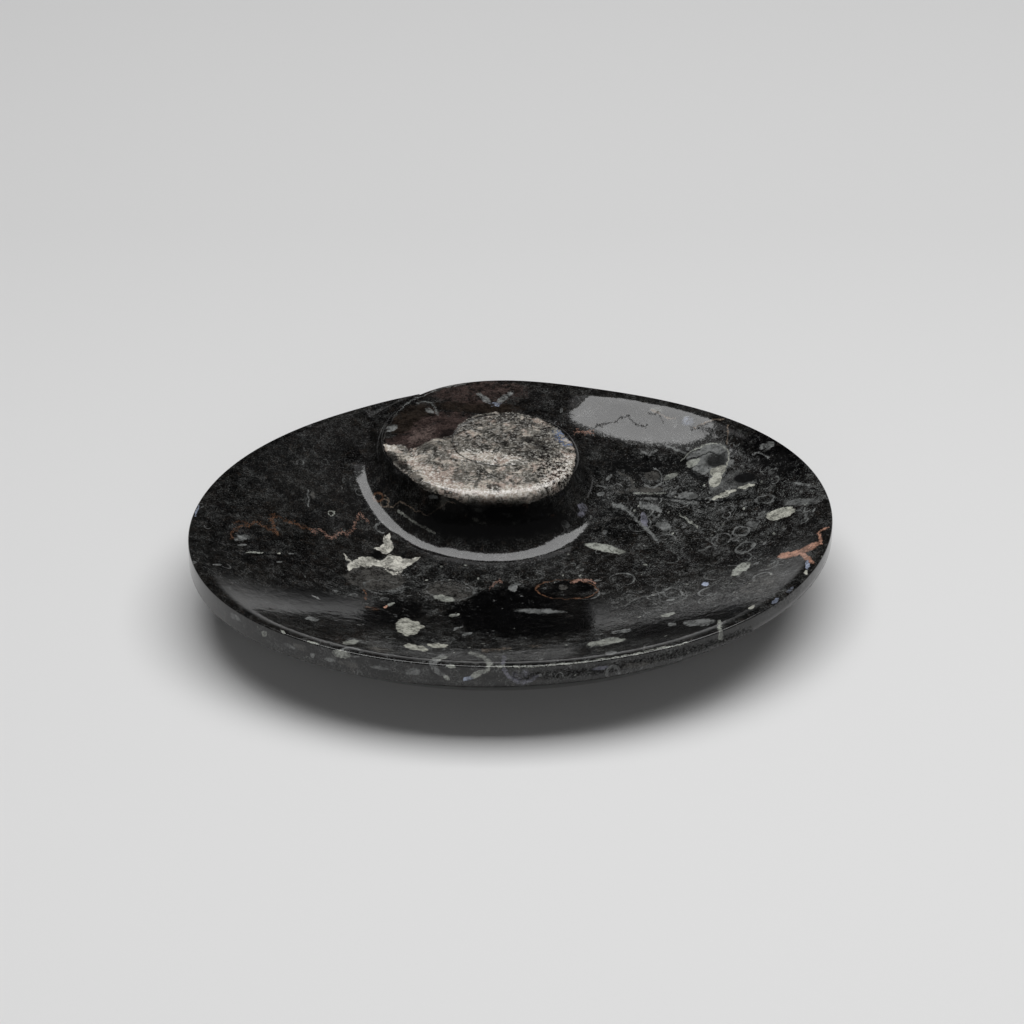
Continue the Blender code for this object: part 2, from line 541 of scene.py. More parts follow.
    def build(self) -> bpy.types.Object:
        """Makes the plate's mesh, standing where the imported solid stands.

        Returns:
            The plate's object, with no material yet.
        """
        bm = bmesh.new()
        self.wind_strip(bm)
        bmesh.ops.contextual_create(bm, geom=self.open_loop(bm, in_coil=True))
        centre = self.outline_centre(bm)
        self.add_bowl(bm, self.add_side(bm), centre)
        bmesh.ops.translate(bm, verts=bm.verts, vec=-centre)
        mesh = finished_mesh(bm, self.name)
        mesh.set_sharp_from_angle(angle=math.radians(self.sharp_angle))
        plate = placed(self.name, mesh)
        log.info("%s: %d faces", plate.name, len(mesh.polygons))
        return plate


@dataclass(frozen=True)
class Viewpoint:
    """Where the photograph was taken from.

    Attributes:
        elevation: Degrees above the horizon.
        lens: Focal length, in millimetres.
        sensor: Width of the sensor, in millimetres.
        frame_width: Width of the photograph, in pixels.
        scale: Pixels for each millimetre at the point looked at.
        looks_at: The point on the table that is shown at the frame's middle.
    """

    elevation: float = 31.0
    lens: float = 140.0
    sensor: float = 36.0
    frame_width: int = 1024
    scale: float = 3.077
    looks_at: tuple[float, float, float] = (0.12 * MM, 44.97 * MM, 0.0)

    @property
    def distance(self) -> float:
        """Metres from the camera to the point looked at."""
        return self.frame_width * self.lens / (self.sensor * self.scale) * MM

    @property
    def back(self) -> Vector:
        """The direction from the point looked at to the camera."""
        up = math.radians(self.elevation)
        return Vector((0.0, -math.cos(up), math.sin(up)))

    def picture_place(
        self, shading: "Shading", place: Socket
    ) -> tuple[Socket, Socket]:
        """Where in the photograph a place of the object shows.

        Args:
            shading: The material being written.
            place: Place in the object, in millimetres.

        Returns:
            Pixels to the right and down, from the photograph's top left corner.
        """
        up = math.radians(self.elevation)
        offset = shading.vector("SUBTRACT", place, tuple(Vector(self.looks_at) / MM))
        across = shading.along(offset, 1.0)
        above = shading.along(offset, 0.0, math.sin(up), math.cos(up))
        nearer = shading.along(offset, *self.back)
        depth = shading.math("SUBTRACT", self.distance / MM, nearer)
        focal = self.frame_width * self.lens / self.sensor
        enlarged = shading.math("DIVIDE", focal, depth)
        middle = self.frame_width / 2
        right = shading.math("MULTIPLY_ADD", across, enlarged, middle)
        down = shading.math("MULTIPLY", above, enlarged)
        return right, shading.math("SUBTRACT", middle, down)

    def place_camera(self) -> bpy.types.Object:
        """Makes the scene's camera.

        Returns:
            The camera's object.
        """
        data = bpy.data.cameras.new("camera")
        data.lens = self.lens
        data.sensor_width = self.sensor
        camera = placed("camera", data)
        camera.location = Vector(self.looks_at) + self.back * self.distance
        camera.rotation_euler = (math.radians(90.0 - self.elevation), 0.0, 0.0)
        bpy.context.scene.camera = camera
        return camera


@dataclass(frozen=True)
class Softbox:
    """One soft light over the plate, or in front of it.

    Attributes:
        place: Its middle, in metres from the plate's.
        size: Width and depth, in metres.
        radiance: Brightness of its face, where a white table in full light is 1.
        tilt: Degrees that it is tipped up from facing down, to face the back.
        mirrored: Whether the polish shows it.
    """

    place: tuple[float, float, float] = (0.156, 0.19, 1.2)
    size: tuple[float, float] = (1.56, 0.86)
    radiance: float = 4.6
    tilt: float = 0.0
    mirrored: bool = True

    def hang(self, name: str) -> bpy.types.Object:
        """Makes the light.

        Args:
            name: The light's name.

        Returns:
            The light's object.
        """
        data = bpy.data.lights.new(name, "AREA")
        data.shape = "RECTANGLE"
        data.size, data.size_y = self.size
        data.energy = self.radiance * math.pi * self.size[0] * self.size[1]
        light = placed(name, data)
        light.location = self.place
        light.rotation_euler = (math.radians(self.tilt), 0.0, 0.0)
        light.visible_glossy = self.mirrored
        return light


@dataclass(frozen=True)
class Studio:
    """The pale table with its backdrop, the light over it and a weak fill light.

    Distances are in metres from the plate's middle, and tones are shares of light.

    Attributes:
        half_width: Half width of the paper.
        front: Its front end.
        back: Where it starts to bend up.
        sweep_radius: Radius of the bend.
        wall_height: Height of its upper end.
        sweep_steps: Steps of the bend.
        pale: The tone in front.
        pale_to: Where that tone ends.
        back_from: Where the tone behind the plate starts.
        back_tone: The tone behind the plate, darker there as painted shade.
        wall_from: Where that tone starts to change to the next.
        wall_tone: The tone at the foot of the bend, lighter there as painted light.
        dark_from: Height at which the backdrop starts to fall into the dark.
        dark_to: Height from which it is dark.
        dark_tone: The tone in the dark.
        ambient: The dim room's own light.
        softbox: The light over the plate.
        fill: The weak light in front of it, which the polish doesn't show.
    """

    half_width: float = 2.5
    front: float = -2.5
    back: float = 1.1
    sweep_radius: float = 0.35
    wall_height: float = 1.4
    sweep_steps: int = 16
    pale: float = 0.78
    pale_to: float = -0.35
    back_from: float = 0.25
    back_tone: float = 0.59
    wall_from: float = 0.7
    wall_tone: float = 0.85
    dark_from: float = 0.12
    dark_to: float = 0.55
    dark_tone: float = 0.01
    ambient: float = 0.05
    softbox: Softbox = Softbox()
    fill: Softbox = Softbox((0.0, -1.5, 0.65), (1.2, 0.6), 1.8, 67.0, False)

    def changed(
        self,
        shading: "Shading",
        colour: object,
        where: Socket,
        ends: tuple[float, float],
        tone: float,
        steps: str = "LINEAR",
    ) -> Socket:
        """Changes the paper's colour to a grey between two places.

        Args:
            shading: The material being written.
            colour: The colour before the change.
            where: How far back or how high up each place is.
            ends: Where the change starts and where it ends.
            tone: The grey after it.
            steps: How evenly it goes.

        Returns:
            The colour.
        """
        inputs = {"Value": where, "From Min": ends[0], "From Max": ends[1]}
        share = shading.node("ShaderNodeMapRange", inputs, interpolation_type=steps)
        inputs = {"Factor": share.outputs["Result"], "A": colour, "B": grey(tone)}
        mix = shading.node("ShaderNodeMix", inputs, data_type="RGBA")
        return mix.outputs["Result"]

    def table_material(self) -> bpy.types.Material:
        """Makes the matt pale paper, with painted shade that falls into the dark up the
        backdrop.

        Returns:
            The paper's material.
        """
        material = bpy.data.materials.new("studio_paper")
        material.use_nodes = True
        shading = Shading(material.node_tree)
        place = shading.node("ShaderNodeTexCoord").outputs["Object"]
        split = shading.node("ShaderNodeSeparateXYZ", {"Vector": place})
        far, up = split.outputs["Y"], split.outputs["Z"]
        # Painted light and shade: darker behind the plate, lighter at the bend, dark up
        # high.
        ends = (self.pale_to, self.back_from)
        colour = self.changed(shading, grey(self.pale), far, ends, self.back_tone)
        ends = (self.wall_from, self.back)
        colour = self.changed(shading, colour, far, ends, self.wall_tone)
        ends = (self.dark_from, self.dark_to)
        dark = self.dark_tone
        colour = self.changed(shading, colour, up, ends, dark, "SMOOTHSTEP")
        shader = material.node_tree.nodes["Principled BSDF"]
        shading.feed(shader.inputs["Base Color"], colour)
        shader.inputs["Roughness"].default_value = 1.0
        shader.inputs["Specular IOR Level"].default_value = 0.0
        return material

    def sweep(self) -> bpy.types.Object:
        """Makes the table and backdrop, one sheet with a curved bend.

        Returns:
            The sheet.
        """
        bm = bmesh.new()
        ends = [
            bm.verts.new((side * self.half_width, self.front, 0.0)) for side in (-1, 1)
        ]
        loop = [bm.edges.new(ends)]
        path = [(self.back, 0.0)]
        for step in range(1, self.sweep_steps + 1):
            angle = math.pi / 2 * step / self.sweep_steps
            along = self.back + self.sweep_radius * math.sin(angle)
            path.append((along, self.sweep_radius * (1 - math.cos(angle))))
        path.append((self.back + self.sweep_radius, self.wall_height))
        for along, up in path:
            made = bmesh.ops.extrude_edge_only(bm, edges=loop)["geom"]
            loop = [item for item in made if isinstance(item, bmesh.types.BMEdge)]
            for vert in made:
                if isinstance(vert, bmesh.types.BMVert):
                    vert.co.y, vert.co.z = along, up
        mesh = finished_mesh(bm, "studio_sweep")
        mesh.materials.append(self.table_material())
        return placed("studio_sweep", mesh)

    def build(self) -> None:
        """Makes the table, the backdrop, the lights and the dim room round them."""
        self.sweep()
        self.softbox.hang("softbox")
        self.fill.hang("fill")
        world = bpy.data.worlds.new("room")
        world.use_nodes = True
        background = world.node_tree.nodes["Background"]
        background.inputs["Color"].default_value = grey(self.ambient)
        bpy.context.scene.world = world
        bpy.context.scene.view_settings.view_transform = "Standard"
        log.info("studio: table, %d lights and a dim room", len(bpy.data.lights))


class Tone(Enum):
    """Colours of the stone and of light painted on it, as shares of red, green and blue
    light.
    """

    BLACK = (0.0022, 0.0022, 0.0024)
    DARK = (0.0065, 0.006, 0.0056)
    BROWN_DARK = (0.019, 0.0145, 0.0115)
    GRIT = (0.06, 0.058, 0.054)
    HASH = (0.165, 0.17, 0.167)
    # Pale shells; the painted highlight lines take this colour too.
    SHELL = (0.30, 0.31, 0.28)
    BONE = (0.48, 0.47, 0.42)
    WHITE = (0.62, 0.60, 0.56)
    CREAM = (0.40, 0.40, 0.35)
    BLUE = (0.33, 0.37, 0.47)
    LILAC = (0.15, 0.15, 0.18)
    RUST = (0.13, 0.068, 0.04)
    PINK = (0.30, 0.18, 0.14)
    SALMON = (0.42, 0.235, 0.17)
    TAN = (0.17, 0.135, 0.105)
    PLUM = (0.044, 0.031, 0.028)
    ROSE = (0.095, 0.071, 0.064)
    BLUE_DEEP = (0.13, 0.19, 0.34)
    CALCITE = (0.40, 0.36, 0.31)
    CALCITE_PINK = (0.33, 0.265, 0.225)
    CALCITE_GREY = (0.085, 0.083, 0.073)
    CALCITE_DARK = (0.020, 0.019, 0.017)


MEAN = 0.5  # of a noise
HALF_TURN = 0.5  # of a turn
UNCUT = -1.0  # keeps the whole of a ring
CUT_FADE = 0.1  # half the width over which a cut fades, as a share of the size
RING_FADE = 1.7  # half thicknesses over which a ring fades out from its middle
STREAK_FADE = 1.9  # half widths over which a streak fades out from its middle
STREAK_ENDS = (0.505, 0.48)  # parts of a streak's length from its middle, none to full
JUMPS = 8.0  # takes the noise of ragged lines to about one each way


@dataclass(frozen=True)
class Drawn:
    """A place in the photograph, as the nodes of a mark get it.

    Attributes:
        right: Pixels from the photograph's left.
        down: Pixels from its top.
        jumps: Fine noise about 0, by which ragged lines jump.
    """

    right: Socket
    down: Socket
    jumps: Socket


class Shading:
    """Writes the nodes of a material, or of a group, from short expressions.

    Attributes:
        tree: The nodes' tree.
        GROUP_SOCKETS: The kind of socket with which a group takes each kind of value.
        SINGLE: Vector steps that give a number.
        BROKEN: A mask that noise breaks up is nothing below this.
        WHOLE: It is whole above this.
    """

    GROUP_SOCKETS = {
        "VALUE": "NodeSocketFloat",
        "VECTOR": "NodeSocketVector",
        "RGBA": "NodeSocketVector",
    }
    SINGLE = ("DOT_PRODUCT", "LENGTH", "DISTANCE")
    BROKEN = 0.25
    WHOLE = 0.7

    def __init__(self, tree: bpy.types.NodeTree) -> None:
        """Takes the tree that gets the nodes."""
        self.tree = tree

    def feed(self, socket: Socket, value: object) -> None:
        """Gives an input what it is to have.

        Args:
            socket: The input.
            value: A socket to link to it, a tone or a plain value. None leaves it.
        """
        if isinstance(value, Tone):
            value = value.value
        if isinstance(value, bpy.types.NodeSocket):
            self.tree.links.new(value, socket)
        elif value is not None:
            socket.default_value = value

    def node(
        self, kind: str, inputs: dict[str, object] | None = None, **settings: object
    ) -> bpy.types.Node:
        """Adds a node.

        Args:
            kind: Its type.
            inputs: What its inputs get, by their names.
            settings: Its options.

        Returns:
            The node.
        """
        made = self.tree.nodes.new(kind)
        for name, setting in settings.items():
            setattr(made, name, setting)
        for name, value in (inputs or {}).items():
            self.feed(made.inputs[name], value)
        return made

    def math(self, operation: str, *terms: Value) -> Socket:
        """One step of arithmetic.

        Args:
            operation: The step.
            terms: What it works on.

        Returns:
            Its result.
        """
        made = self.node("ShaderNodeMath", operation=operation)
        for socket, term in zip(made.inputs, terms):
            self.feed(socket, term)
        return made.outputs["Value"]

    def vector(self, operation: str, *terms: object) -> Socket:
        """One step of vector arithmetic.

        Args:
            operation: The step.
            terms: What it works on.

        Returns:
            Its result.
        """
        made = self.node("ShaderNodeVectorMath", operation=operation)
        for socket, term in zip(made.inputs, terms):
            self.feed(socket, term)
        return made.outputs["Value" if operation in self.SINGLE else "Vector"]

    def scaled(self, vector: Socket, scale: Value) -> Socket:
        """A vector times a number."""
        inputs = {"Vector": vector, "Scale": scale}
        made = self.node("ShaderNodeVectorMath", inputs, operation="SCALE")
        return made.outputs["Vector"]

    def along(self, vector: Socket, *direction: float) -> Socket:
        """How far a vector reaches in a direction, in lengths of the direction."""
        direction = (*direction, 0.0, 0.0)[:3]
        return self.vector("DOT_PRODUCT", vector, direction)

    def framed(
        self, drawn: Drawn, at: Place, turn: float, size: Place
    ) -> tuple[Socket, Socket]:
        """A place in the photograph, as seen in a frame of its own.

        Args:
            drawn: The place.
            at: The frame's middle, in the photograph's pixels.
            turn: Degrees anticlockwise, as seen in the photograph.
            size: Half length and half width, in pixels.

        Returns:
            The place along and across the frame, in half lengths and half widths.
        """
        level, steep = math.cos(math.radians(turn)), math.sin(math.radians(turn))
        axes = (
            (level / size[0], -steep / size[0]),
            (steep / size[1], level / size[1]),
        )
        found = []
        for x, y in axes:
            start = -(at[0] * x + at[1] * y)
            part = self.math("MULTIPLY_ADD", drawn.down, y, start)
            found.append(self.math("MULTIPLY_ADD", drawn.right, x, part))
        return found[0], found[1]

    def reach(self, along: Socket, across: Socket) -> Socket:
        """The square of the distance from a frame's middle."""
        square = self.math("MULTIPLY", across, across)
        return self.math("MULTIPLY_ADD", along, along, square)

    def fade(self, value: Value, start: float, end: float, full: float = 1.0) -> Socket:
        """Goes smoothly from 0 to full strength.

        Args:
            value: What it follows.
            start: Where it is still 0, above or below the end.
            end: Where it is full.
            full: The full strength.

        Returns:
            The strength.
        """
        falls = start > end
        inputs = {
            "Value": value,
            "From Min": min(start, end),
            "From Max": max(start, end),
            "To Min": full if falls else 0.0,
            "To Max": 0.0 if falls else full,
        }
        made = self.node(
            "ShaderNodeMapRange", inputs, interpolation_type="SMOOTHSTEP", clamp=False
        )
        return made.outputs["Result"]

    def own(self, name: str) -> Socket:
        """One of the object's own coordinates, as a plain vector.

        Args:
            name: The coordinates' name.

        Returns:
            The coordinates.
        """

        def write(inner: "Shading") -> Socket:
            """Reads the coordinates in a group of their own."""
            return inner.node("ShaderNodeTexCoord").outputs[name]

        return self.group(f"own_{name.lower()}", write)

    def crumbled(self, mask: Socket, crumbs: Socket, amount: float) -> Socket:
        """A mask with its edges and weak parts broken up.

        Args:
            mask: The mask.
            crumbs: Fine noise about 0.
            amount: How much the noise strengthens the mask or weakens it.

        Returns:
            The mask, sharper and broken.
        """
        gain = self.math("MULTIPLY_ADD", crumbs, amount, 1.0)
        return self.fade(self.math("MULTIPLY", mask, gain), self.BROKEN, self.WHOLE)

    def curve(self, value: Value, points: Sequence[Place]) -> Socket:
        """A drawn curve, straight from point to point, both ways from 0 to 1.

        Args:
            value: The place along the curve.
            points: The curve's points, in any order.

        Returns:
            The curve's height there.
        """
        made = self.node("ShaderNodeFloatCurve")
        drawn = made.mapping.curves[0]
        ordered = sorted(points)
        drawn.points[0].location, drawn.points[1].location = ordered[0], ordered[-1]
        for point in ordered[1:-1]:
            drawn.points.new(*point)
        for point in drawn.points:
            point.handle_type = "VECTOR"
        made.mapping.update()
        self.feed(made.inputs["Value"], value)
        return made.outputs["Value"]

    def marked(self, name: str, drawn: Drawn, marks: Sequence["Mark"]) -> Socket:
        """The strongest mask of several marks, as a group.

        Args:
            name: The group's name.
            drawn: The place in the photograph.
            marks: The marks.

        Returns:
            The mask.
        """

        def write(inner: "Shading", *taken: Socket) -> Socket:
            """Lays one mask after another."""
            at = Drawn(*taken)
            found = marks[0].mask(inner, at)
            for mark in marks[1:]:
                found = inner.math("MAXIMUM", found, mark.mask(inner, at))
            return found

        return self.group(name, write, drawn.right, drawn.down, drawn.jumps)

    def paint(self, below: object, mask: Value, above: object) -> Socket:
        """Lays one colour over another.

        Args:
            below: The colour below.
            mask: How much is covered, from 0 to 1.
            above: The colour above.

        Returns:
            The colour that shows.
        """
        inputs = {"Factor": mask, "A": below, "B": above}
        made = self.node("ShaderNodeMix", inputs, data_type="VECTOR")
        return made.outputs["Result"]

    def grouped(
        self, name: str, write: Callable[..., Sequence[Socket]], *given: Socket
    ) -> list[Socket]:
        """Writes some nodes as a group of their own.

        Args:
            name: The group's name.
            write: Writes them, from the group's own shading and what it is given.
            given: The sockets that the group reads.

        Returns:
            What the group gives back.
        """
        tree = bpy.data.node_groups.new(name, "ShaderNodeTree")
        for count, socket in enumerate(given):
            kind = self.GROUP_SOCKETS[socket.type]
            tree.interface.new_socket(
                f"Given {count}", in_out="INPUT", socket_type=kind
            )
        inner = Shading(tree)
        start = inner.node("NodeGroupInput")
        results = write(inner, *list(start.outputs)[: len(given)])
        for count, socket in enumerate(results):
            kind = self.GROUP_SOCKETS[socket.type]
            tree.interface.new_socket(
                f"Result {count}", in_out="OUTPUT", socket_type=kind
            )
        end = inner.node("NodeGroupOutput")
        for socket, value in zip(end.inputs, results):
            inner.feed(socket, value)
        made = self.node("ShaderNodeGroup", node_tree=tree)
        for socket, value in zip(made.inputs, given):
            self.feed(socket, value)
        return list(made.outputs)

    def group(self, name: str, write: Callable[..., Socket], *given: Socket) -> Socket:
        """Writes some nodes with one result as a group of their own.

        Args:
            name: The group's name.
            write: Writes them, from the group's own shading and what it is given.
            given: The sockets that the group reads.

        Returns:
            The result.
        """

        def write_one(inner: "Shading", *taken: Socket) -> Sequence[Socket]:
            """Gives the result as the only one of a row."""
            return (write(inner, *taken),)

        return self.grouped(name, write_one, *given)[0]


@dataclass(frozen=True)
class Grain:
    """How a noise in the stone runs.

    Attributes:
        scale: Lumps in each millimetre.
        detail: How many finer noises are added.
        roughness: How strong the finer noises are.
        swirl: How far the lumps are pulled out of shape.
    """

    scale: float
    detail: float
    roughness: float
    swirl: float = 0.0

    def texture(self, shading: Shading) -> bpy.types.Node:
        """The noise's texture over the object's own place.

        Args:
            shading: The group being written.

        Returns:
            The texture.
        """
        made = shading.node("ShaderNodeTexNoise")
        inputs = {
            "Vector": shading.node("ShaderNodeTexCoord").outputs["Object"],
            "Scale": self.scale / MM,
            "Detail": self.detail,
            "Roughness": self.roughness,
            "Distortion": self.swirl,
        }
        for name, value in inputs.items():
            shading.feed(made.inputs[name], value)
        return made

    def noise(self, shading: Shading) -> Socket:
        """The noise, from about 0.3 to 0.7, as a plain number."""
        return self.texture(shading).outputs["Fac"]

    def centred(self, shading: Shading) -> Socket:
        """The same noise about 0."""
        return shading.math("SUBTRACT", self.noise(shading), MEAN)


@dataclass(frozen=True)
class Spot:
    """An oval mark.

    Attributes:
        at: Its middle, in the photograph's pixels.
        size: Half length and half width, in the same pixels.
        turn: Degrees anticlockwise from level.
        strength: How much it covers the stone.
        soft: Share of its size over which it fades out.
    """

    at: Place
    size: Place
    turn: float = 0.0
    strength: float = 1.0
    soft: float = 0.25

    def mask(self, shading: Shading, drawn: Drawn) -> Socket:
        """How much the mark covers each place.

        Args:
            shading: The group being written.
            drawn: The place in the photograph.

        Returns:
            The mask.
        """
        framed = shading.framed(drawn, self.at, self.turn, self.size)
        outer, inner = 1.0 + self.soft / 2, 1.0 - self.soft
        return shading.fade(
            shading.reach(*framed), outer * outer, inner * inner, self.strength
        )


@dataclass(frozen=True)
class Ring(Spot):
    """A ring, or part of one: mostly the cut edge of a rounded shell, also painted
    shade.

    Attributes:
        thick: Half thickness, as a share of the size.
        kept: The part kept lies beyond this, along the mark's own length.
    """

    thick: float = 0.14
    kept: float = UNCUT

    def mask(self, shading: Shading, drawn: Drawn) -> Socket:
        """How much the mark covers each place.

        Args:
            shading: The group being written.
            drawn: The place in the photograph.

        Returns:
            The mask.
        """
        framed = shading.framed(drawn, self.at, self.turn, self.size)
        reach = shading.math("SQRT", shading.reach(*framed))
        off = shading.math("ABSOLUTE", shading.math("SUBTRACT", reach, 1.0))
        line = shading.fade(off, self.thick * RING_FADE, 0.0, self.strength)
        if self.kept > UNCUT:
            end = shading.fade(framed[0], self.kept - CUT_FADE, self.kept + CUT_FADE)
            line = shading.math("MULTIPLY", line, end)
        return line


@dataclass(frozen=True)
class Patch:
    """A mark with an outline of its own.

    Attributes:
        at: A point inside, from which the whole outline is in sight.
        outline: Points of the outline in turn, in the photograph's pixels.
        strength: How much it covers the stone.
        soft: Share of its size over which it fades out.
    """

    at: Place
    outline: Sequence[Place]
    strength: float = 1.0
    soft: float = 0.08

    def reach(self) -> tuple[list[Place], float]:
        """The outline as a curve of reach by direction.

        Returns:
            The curve's points, from 0 to 1 both ways, and the longest reach.
        """
        found = {}
        for x, y in self.outline:
            across, down = x - self.at[0], y - self.at[1]
            turn = math.atan2(down, across) / math.tau + HALF_TURN
            found[turn] = math.hypot(across, down)
        longest = max(found.values())
        points = [(turn, reach / longest) for turn, reach in sorted(found.items())]
        (first, low), (last, high) = points[0], points[-1]
        share = first / (first + 1.0 - last)
        seam = low + (high - low) * share
        return [(0.0, seam), *points, (1.0, seam)], longest

    def mask(self, shading: Shading, drawn: Drawn) -> Socket:
        """How much the mark covers each place.

        Args:
            shading: The group being written.
            drawn: The place in the photograph.

        Returns:
            The mask.
        """
        points, longest = self.reach()
        across = shading.math("SUBTRACT", drawn.right, self.at[0])
        down = shading.math("SUBTRACT", drawn.down, self.at[1])
        turn = shading.math("ARCTAN2", down, across)
        turn = shading.math("MULTIPLY_ADD", turn, 1.0 / math.tau, HALF_TURN)
        edge = shading.math("MULTIPLY", shading.curve(turn, points), longest)
        reach = shading.math("SQRT", shading.reach(across, down))
        share = shading.math("DIVIDE", reach, edge)
        return shading.fade(share, 1.0 + self.soft, 1.0 - self.soft, self.strength)


@dataclass(frozen=True)
class Streak:
    """A thin line drawn on the stone: a vein, a shell cut on edge, a matt line or a
    painted highlight.

    Attributes:
        points: Points along it from left to right, or from top to bottom.
        width: Half width, in the photograph's pixels.
        ragged: How far it jumps to and fro, in the same pixels.
        upright: Whether it runs from top to bottom.
        strength: How much it covers the stone.
    """

    points: Sequence[Place]
    width: float = 1.0
    ragged: float = 0.0
    upright: bool = False
    strength: float = 1.0

    def mask(self, shading: Shading, drawn: Drawn) -> Socket:
        """How much the mark covers each place.

        Args:
            shading: The group being written.
            drawn: The place in the photograph.

        Returns:
            The mask.
        """
        points = [(y, x) for x, y in self.points] if self.upright else self.points
        start, end = min(p[0] for p in points), max(p[0] for p in points)
        low, high = min(p[1] for p in points), max(p[1] for p in points)
        rise = max(high - low, 1.0)
        route = [((a - start) / (end - start), (b - low) / rise) for a, b in points]
        along, aside = drawn.right, drawn.down
        if self.upright:
            along, aside = aside, along
        share = shading.math("SUBTRACT", along, start)
        share = shading.math("DIVIDE", share, end - start)
        line = shading.curve(share, route)
        line = shading.math("MULTIPLY_ADD", line, rise, low)
        off = shading.math("SUBTRACT", aside, line)
        if self.ragged:
            off = shading.math("MULTIPLY_ADD", drawn.jumps, self.ragged * JUMPS, off)
        off = shading.math("ABSOLUTE", off)
        line = shading.fade(off, self.width * STREAK_FADE, 0.0, self.strength)
        middle = shading.math("SUBTRACT", share, 0.5)
        ends = shading.fade(shading.math("ABSOLUTE", middle), *STREAK_ENDS)
        return shading.math("MULTIPLY", line, ends)


Mark = Spot | Patch | Streak
Marks = tuple[Mark, ...]
ByTone = dict[Tone, Marks]


@dataclass(frozen=True)
class Layer:
    """Marks that are laid over the stone together.

    Attributes:
        name: The layer's name.
        marks: The marks of each tone, in the order in which the tones are laid.
        crumbling: How strongly noise breaks the marks up.
        lumpy: Whether that noise is the coarser one.
    """

    name: str
    marks: ByTone
    crumbling: float
    lumpy: bool = False


@dataclass(frozen=True)
class ShellLitter:
    """Broken shells strewn through the stone, one in each cell of a random lattice.

    Attributes:
        cell: Size of the cells, in millimetres.
        reach: Half sizes of a shell along its own axes, as shares of a cell.
        sparse: Share of the cells that hold a shell where shells are few.
        dense: The same where they lie thickest.
        thick: Half thickness of the shell, as a share of its reach; 1 is solid.
        kept: The part kept lies beyond this along the shell's first axis.
        tone: Colour of the brightest.
        ASKEW: A direction along which no shell lies.
        PICK: Mixes a cell's three random numbers into the one that picks it.
        SHINE: Mixes them into its shell's brightness.
        DIMMEST: Brightness of the dimmest shell.
        EDGE: Shares of the reach at which a solid shell's mask starts and is full.
        WALL: The same for a hollow one, in half thicknesses.
    """

    cell: float
    reach: Triple
    sparse: float
    dense: float
    thick: float = 1.0
    kept: float = UNCUT
    tone: Tone = Tone.HASH
    ASKEW: ClassVar[Triple] = (0.31, 0.83, 0.46)
    PICK: ClassVar[Triple] = (7.1, 3.3, 5.7)
    SHINE: ClassVar[Triple] = (3.7, 9.1, 1.3)
    DIMMEST: ClassVar[float] = 0.3
    EDGE: ClassVar[Place] = (1.1, 0.8)
    WALL: ClassVar[Place] = (1.3, 0.5)

    def cells(self, shading: Shading) -> Sequence[Socket]:
        """The cell that each place is in.

        Args:
            shading: The group being written.

        Returns:
            The cell's middle, in metres, and its random numbers.
        """
        cells = shading.node("ShaderNodeTexVoronoi")
        place = shading.node("ShaderNodeTexCoord").outputs["Object"]
        shading.feed(cells.inputs["Vector"], place)
        shading.feed(cells.inputs["Scale"], 1.0 / (self.cell * MM))
        return cells.outputs["Position"], cells.outputs["Color"]

    @staticmethod
    def mixed(shading: Shading, chances: Socket, shares: Triple) -> Socket:
        """One random number from 0 to 1 out of a cell's three."""
        return shading.math("FRACT", shading.along(chances, *shares))

    def mask(
        self,
        shading: Shading,
        place: Socket,
        middle: Socket,
        chances: Socket,
        share: Socket,
    ) -> Socket:
        """How much the shells cover each place.

        Args:
            shading: The group being written.
            place: Place in the stone, in millimetres.
            middle: Middle of the nearest cell, in metres.
            chances: The cell's random numbers.
            share: Share of the cells that hold a shell there.

        Returns:
            The mask, which also carries each shell's own brightness.
        """
        offset = shading.vector("SUBTRACT", place, shading.scaled(middle, 1.0 / MM))
        first = shading.vector("SUBTRACT", chances, (MEAN, MEAN, MEAN))
        first = shading.vector("NORMALIZE", first)
        second = shading.vector("CROSS_PRODUCT", first, self.ASKEW)
        second = shading.vector("NORMALIZE", second)
        third = shading.vector("CROSS_PRODUCT", first, second)
        parts = []
        for axis, reach in zip((first, second, third), self.reach):
            part = shading.vector("DOT_PRODUCT", offset, axis)
            parts.append(shading.math("DIVIDE", part, self.cell * reach))
        flat = shading.reach(parts[0], parts[1])
        far = shading.math("MULTIPLY_ADD", parts[2], parts[2], flat)
        far = shading.math("SQRT", far)
        if self.thick < 1.0:
            off = shading.math("ABSOLUTE", shading.math("SUBTRACT", far, 1.0))
            mask = shading.fade(off, *(self.thick * part for part in self.WALL))
        else:
            mask = shading.fade(far, *self.EDGE)
        if self.kept > UNCUT:
            cut = shading.fade(parts[0], self.kept - CUT_FADE, self.kept + CUT_FADE)
            mask = shading.math("MULTIPLY", mask, cut)
        pick = self.mixed(shading, chances, self.PICK)
        there = shading.math("LESS_THAN", pick, share)
        mask = shading.math("MULTIPLY", mask, there)
        bright = self.mixed(shading, chances, self.SHINE)
        gain = 1.0 - self.DIMMEST
        bright = shading.math("MULTIPLY_ADD", bright, gain, self.DIMMEST)
        return shading.math("MULTIPLY", mask, bright)


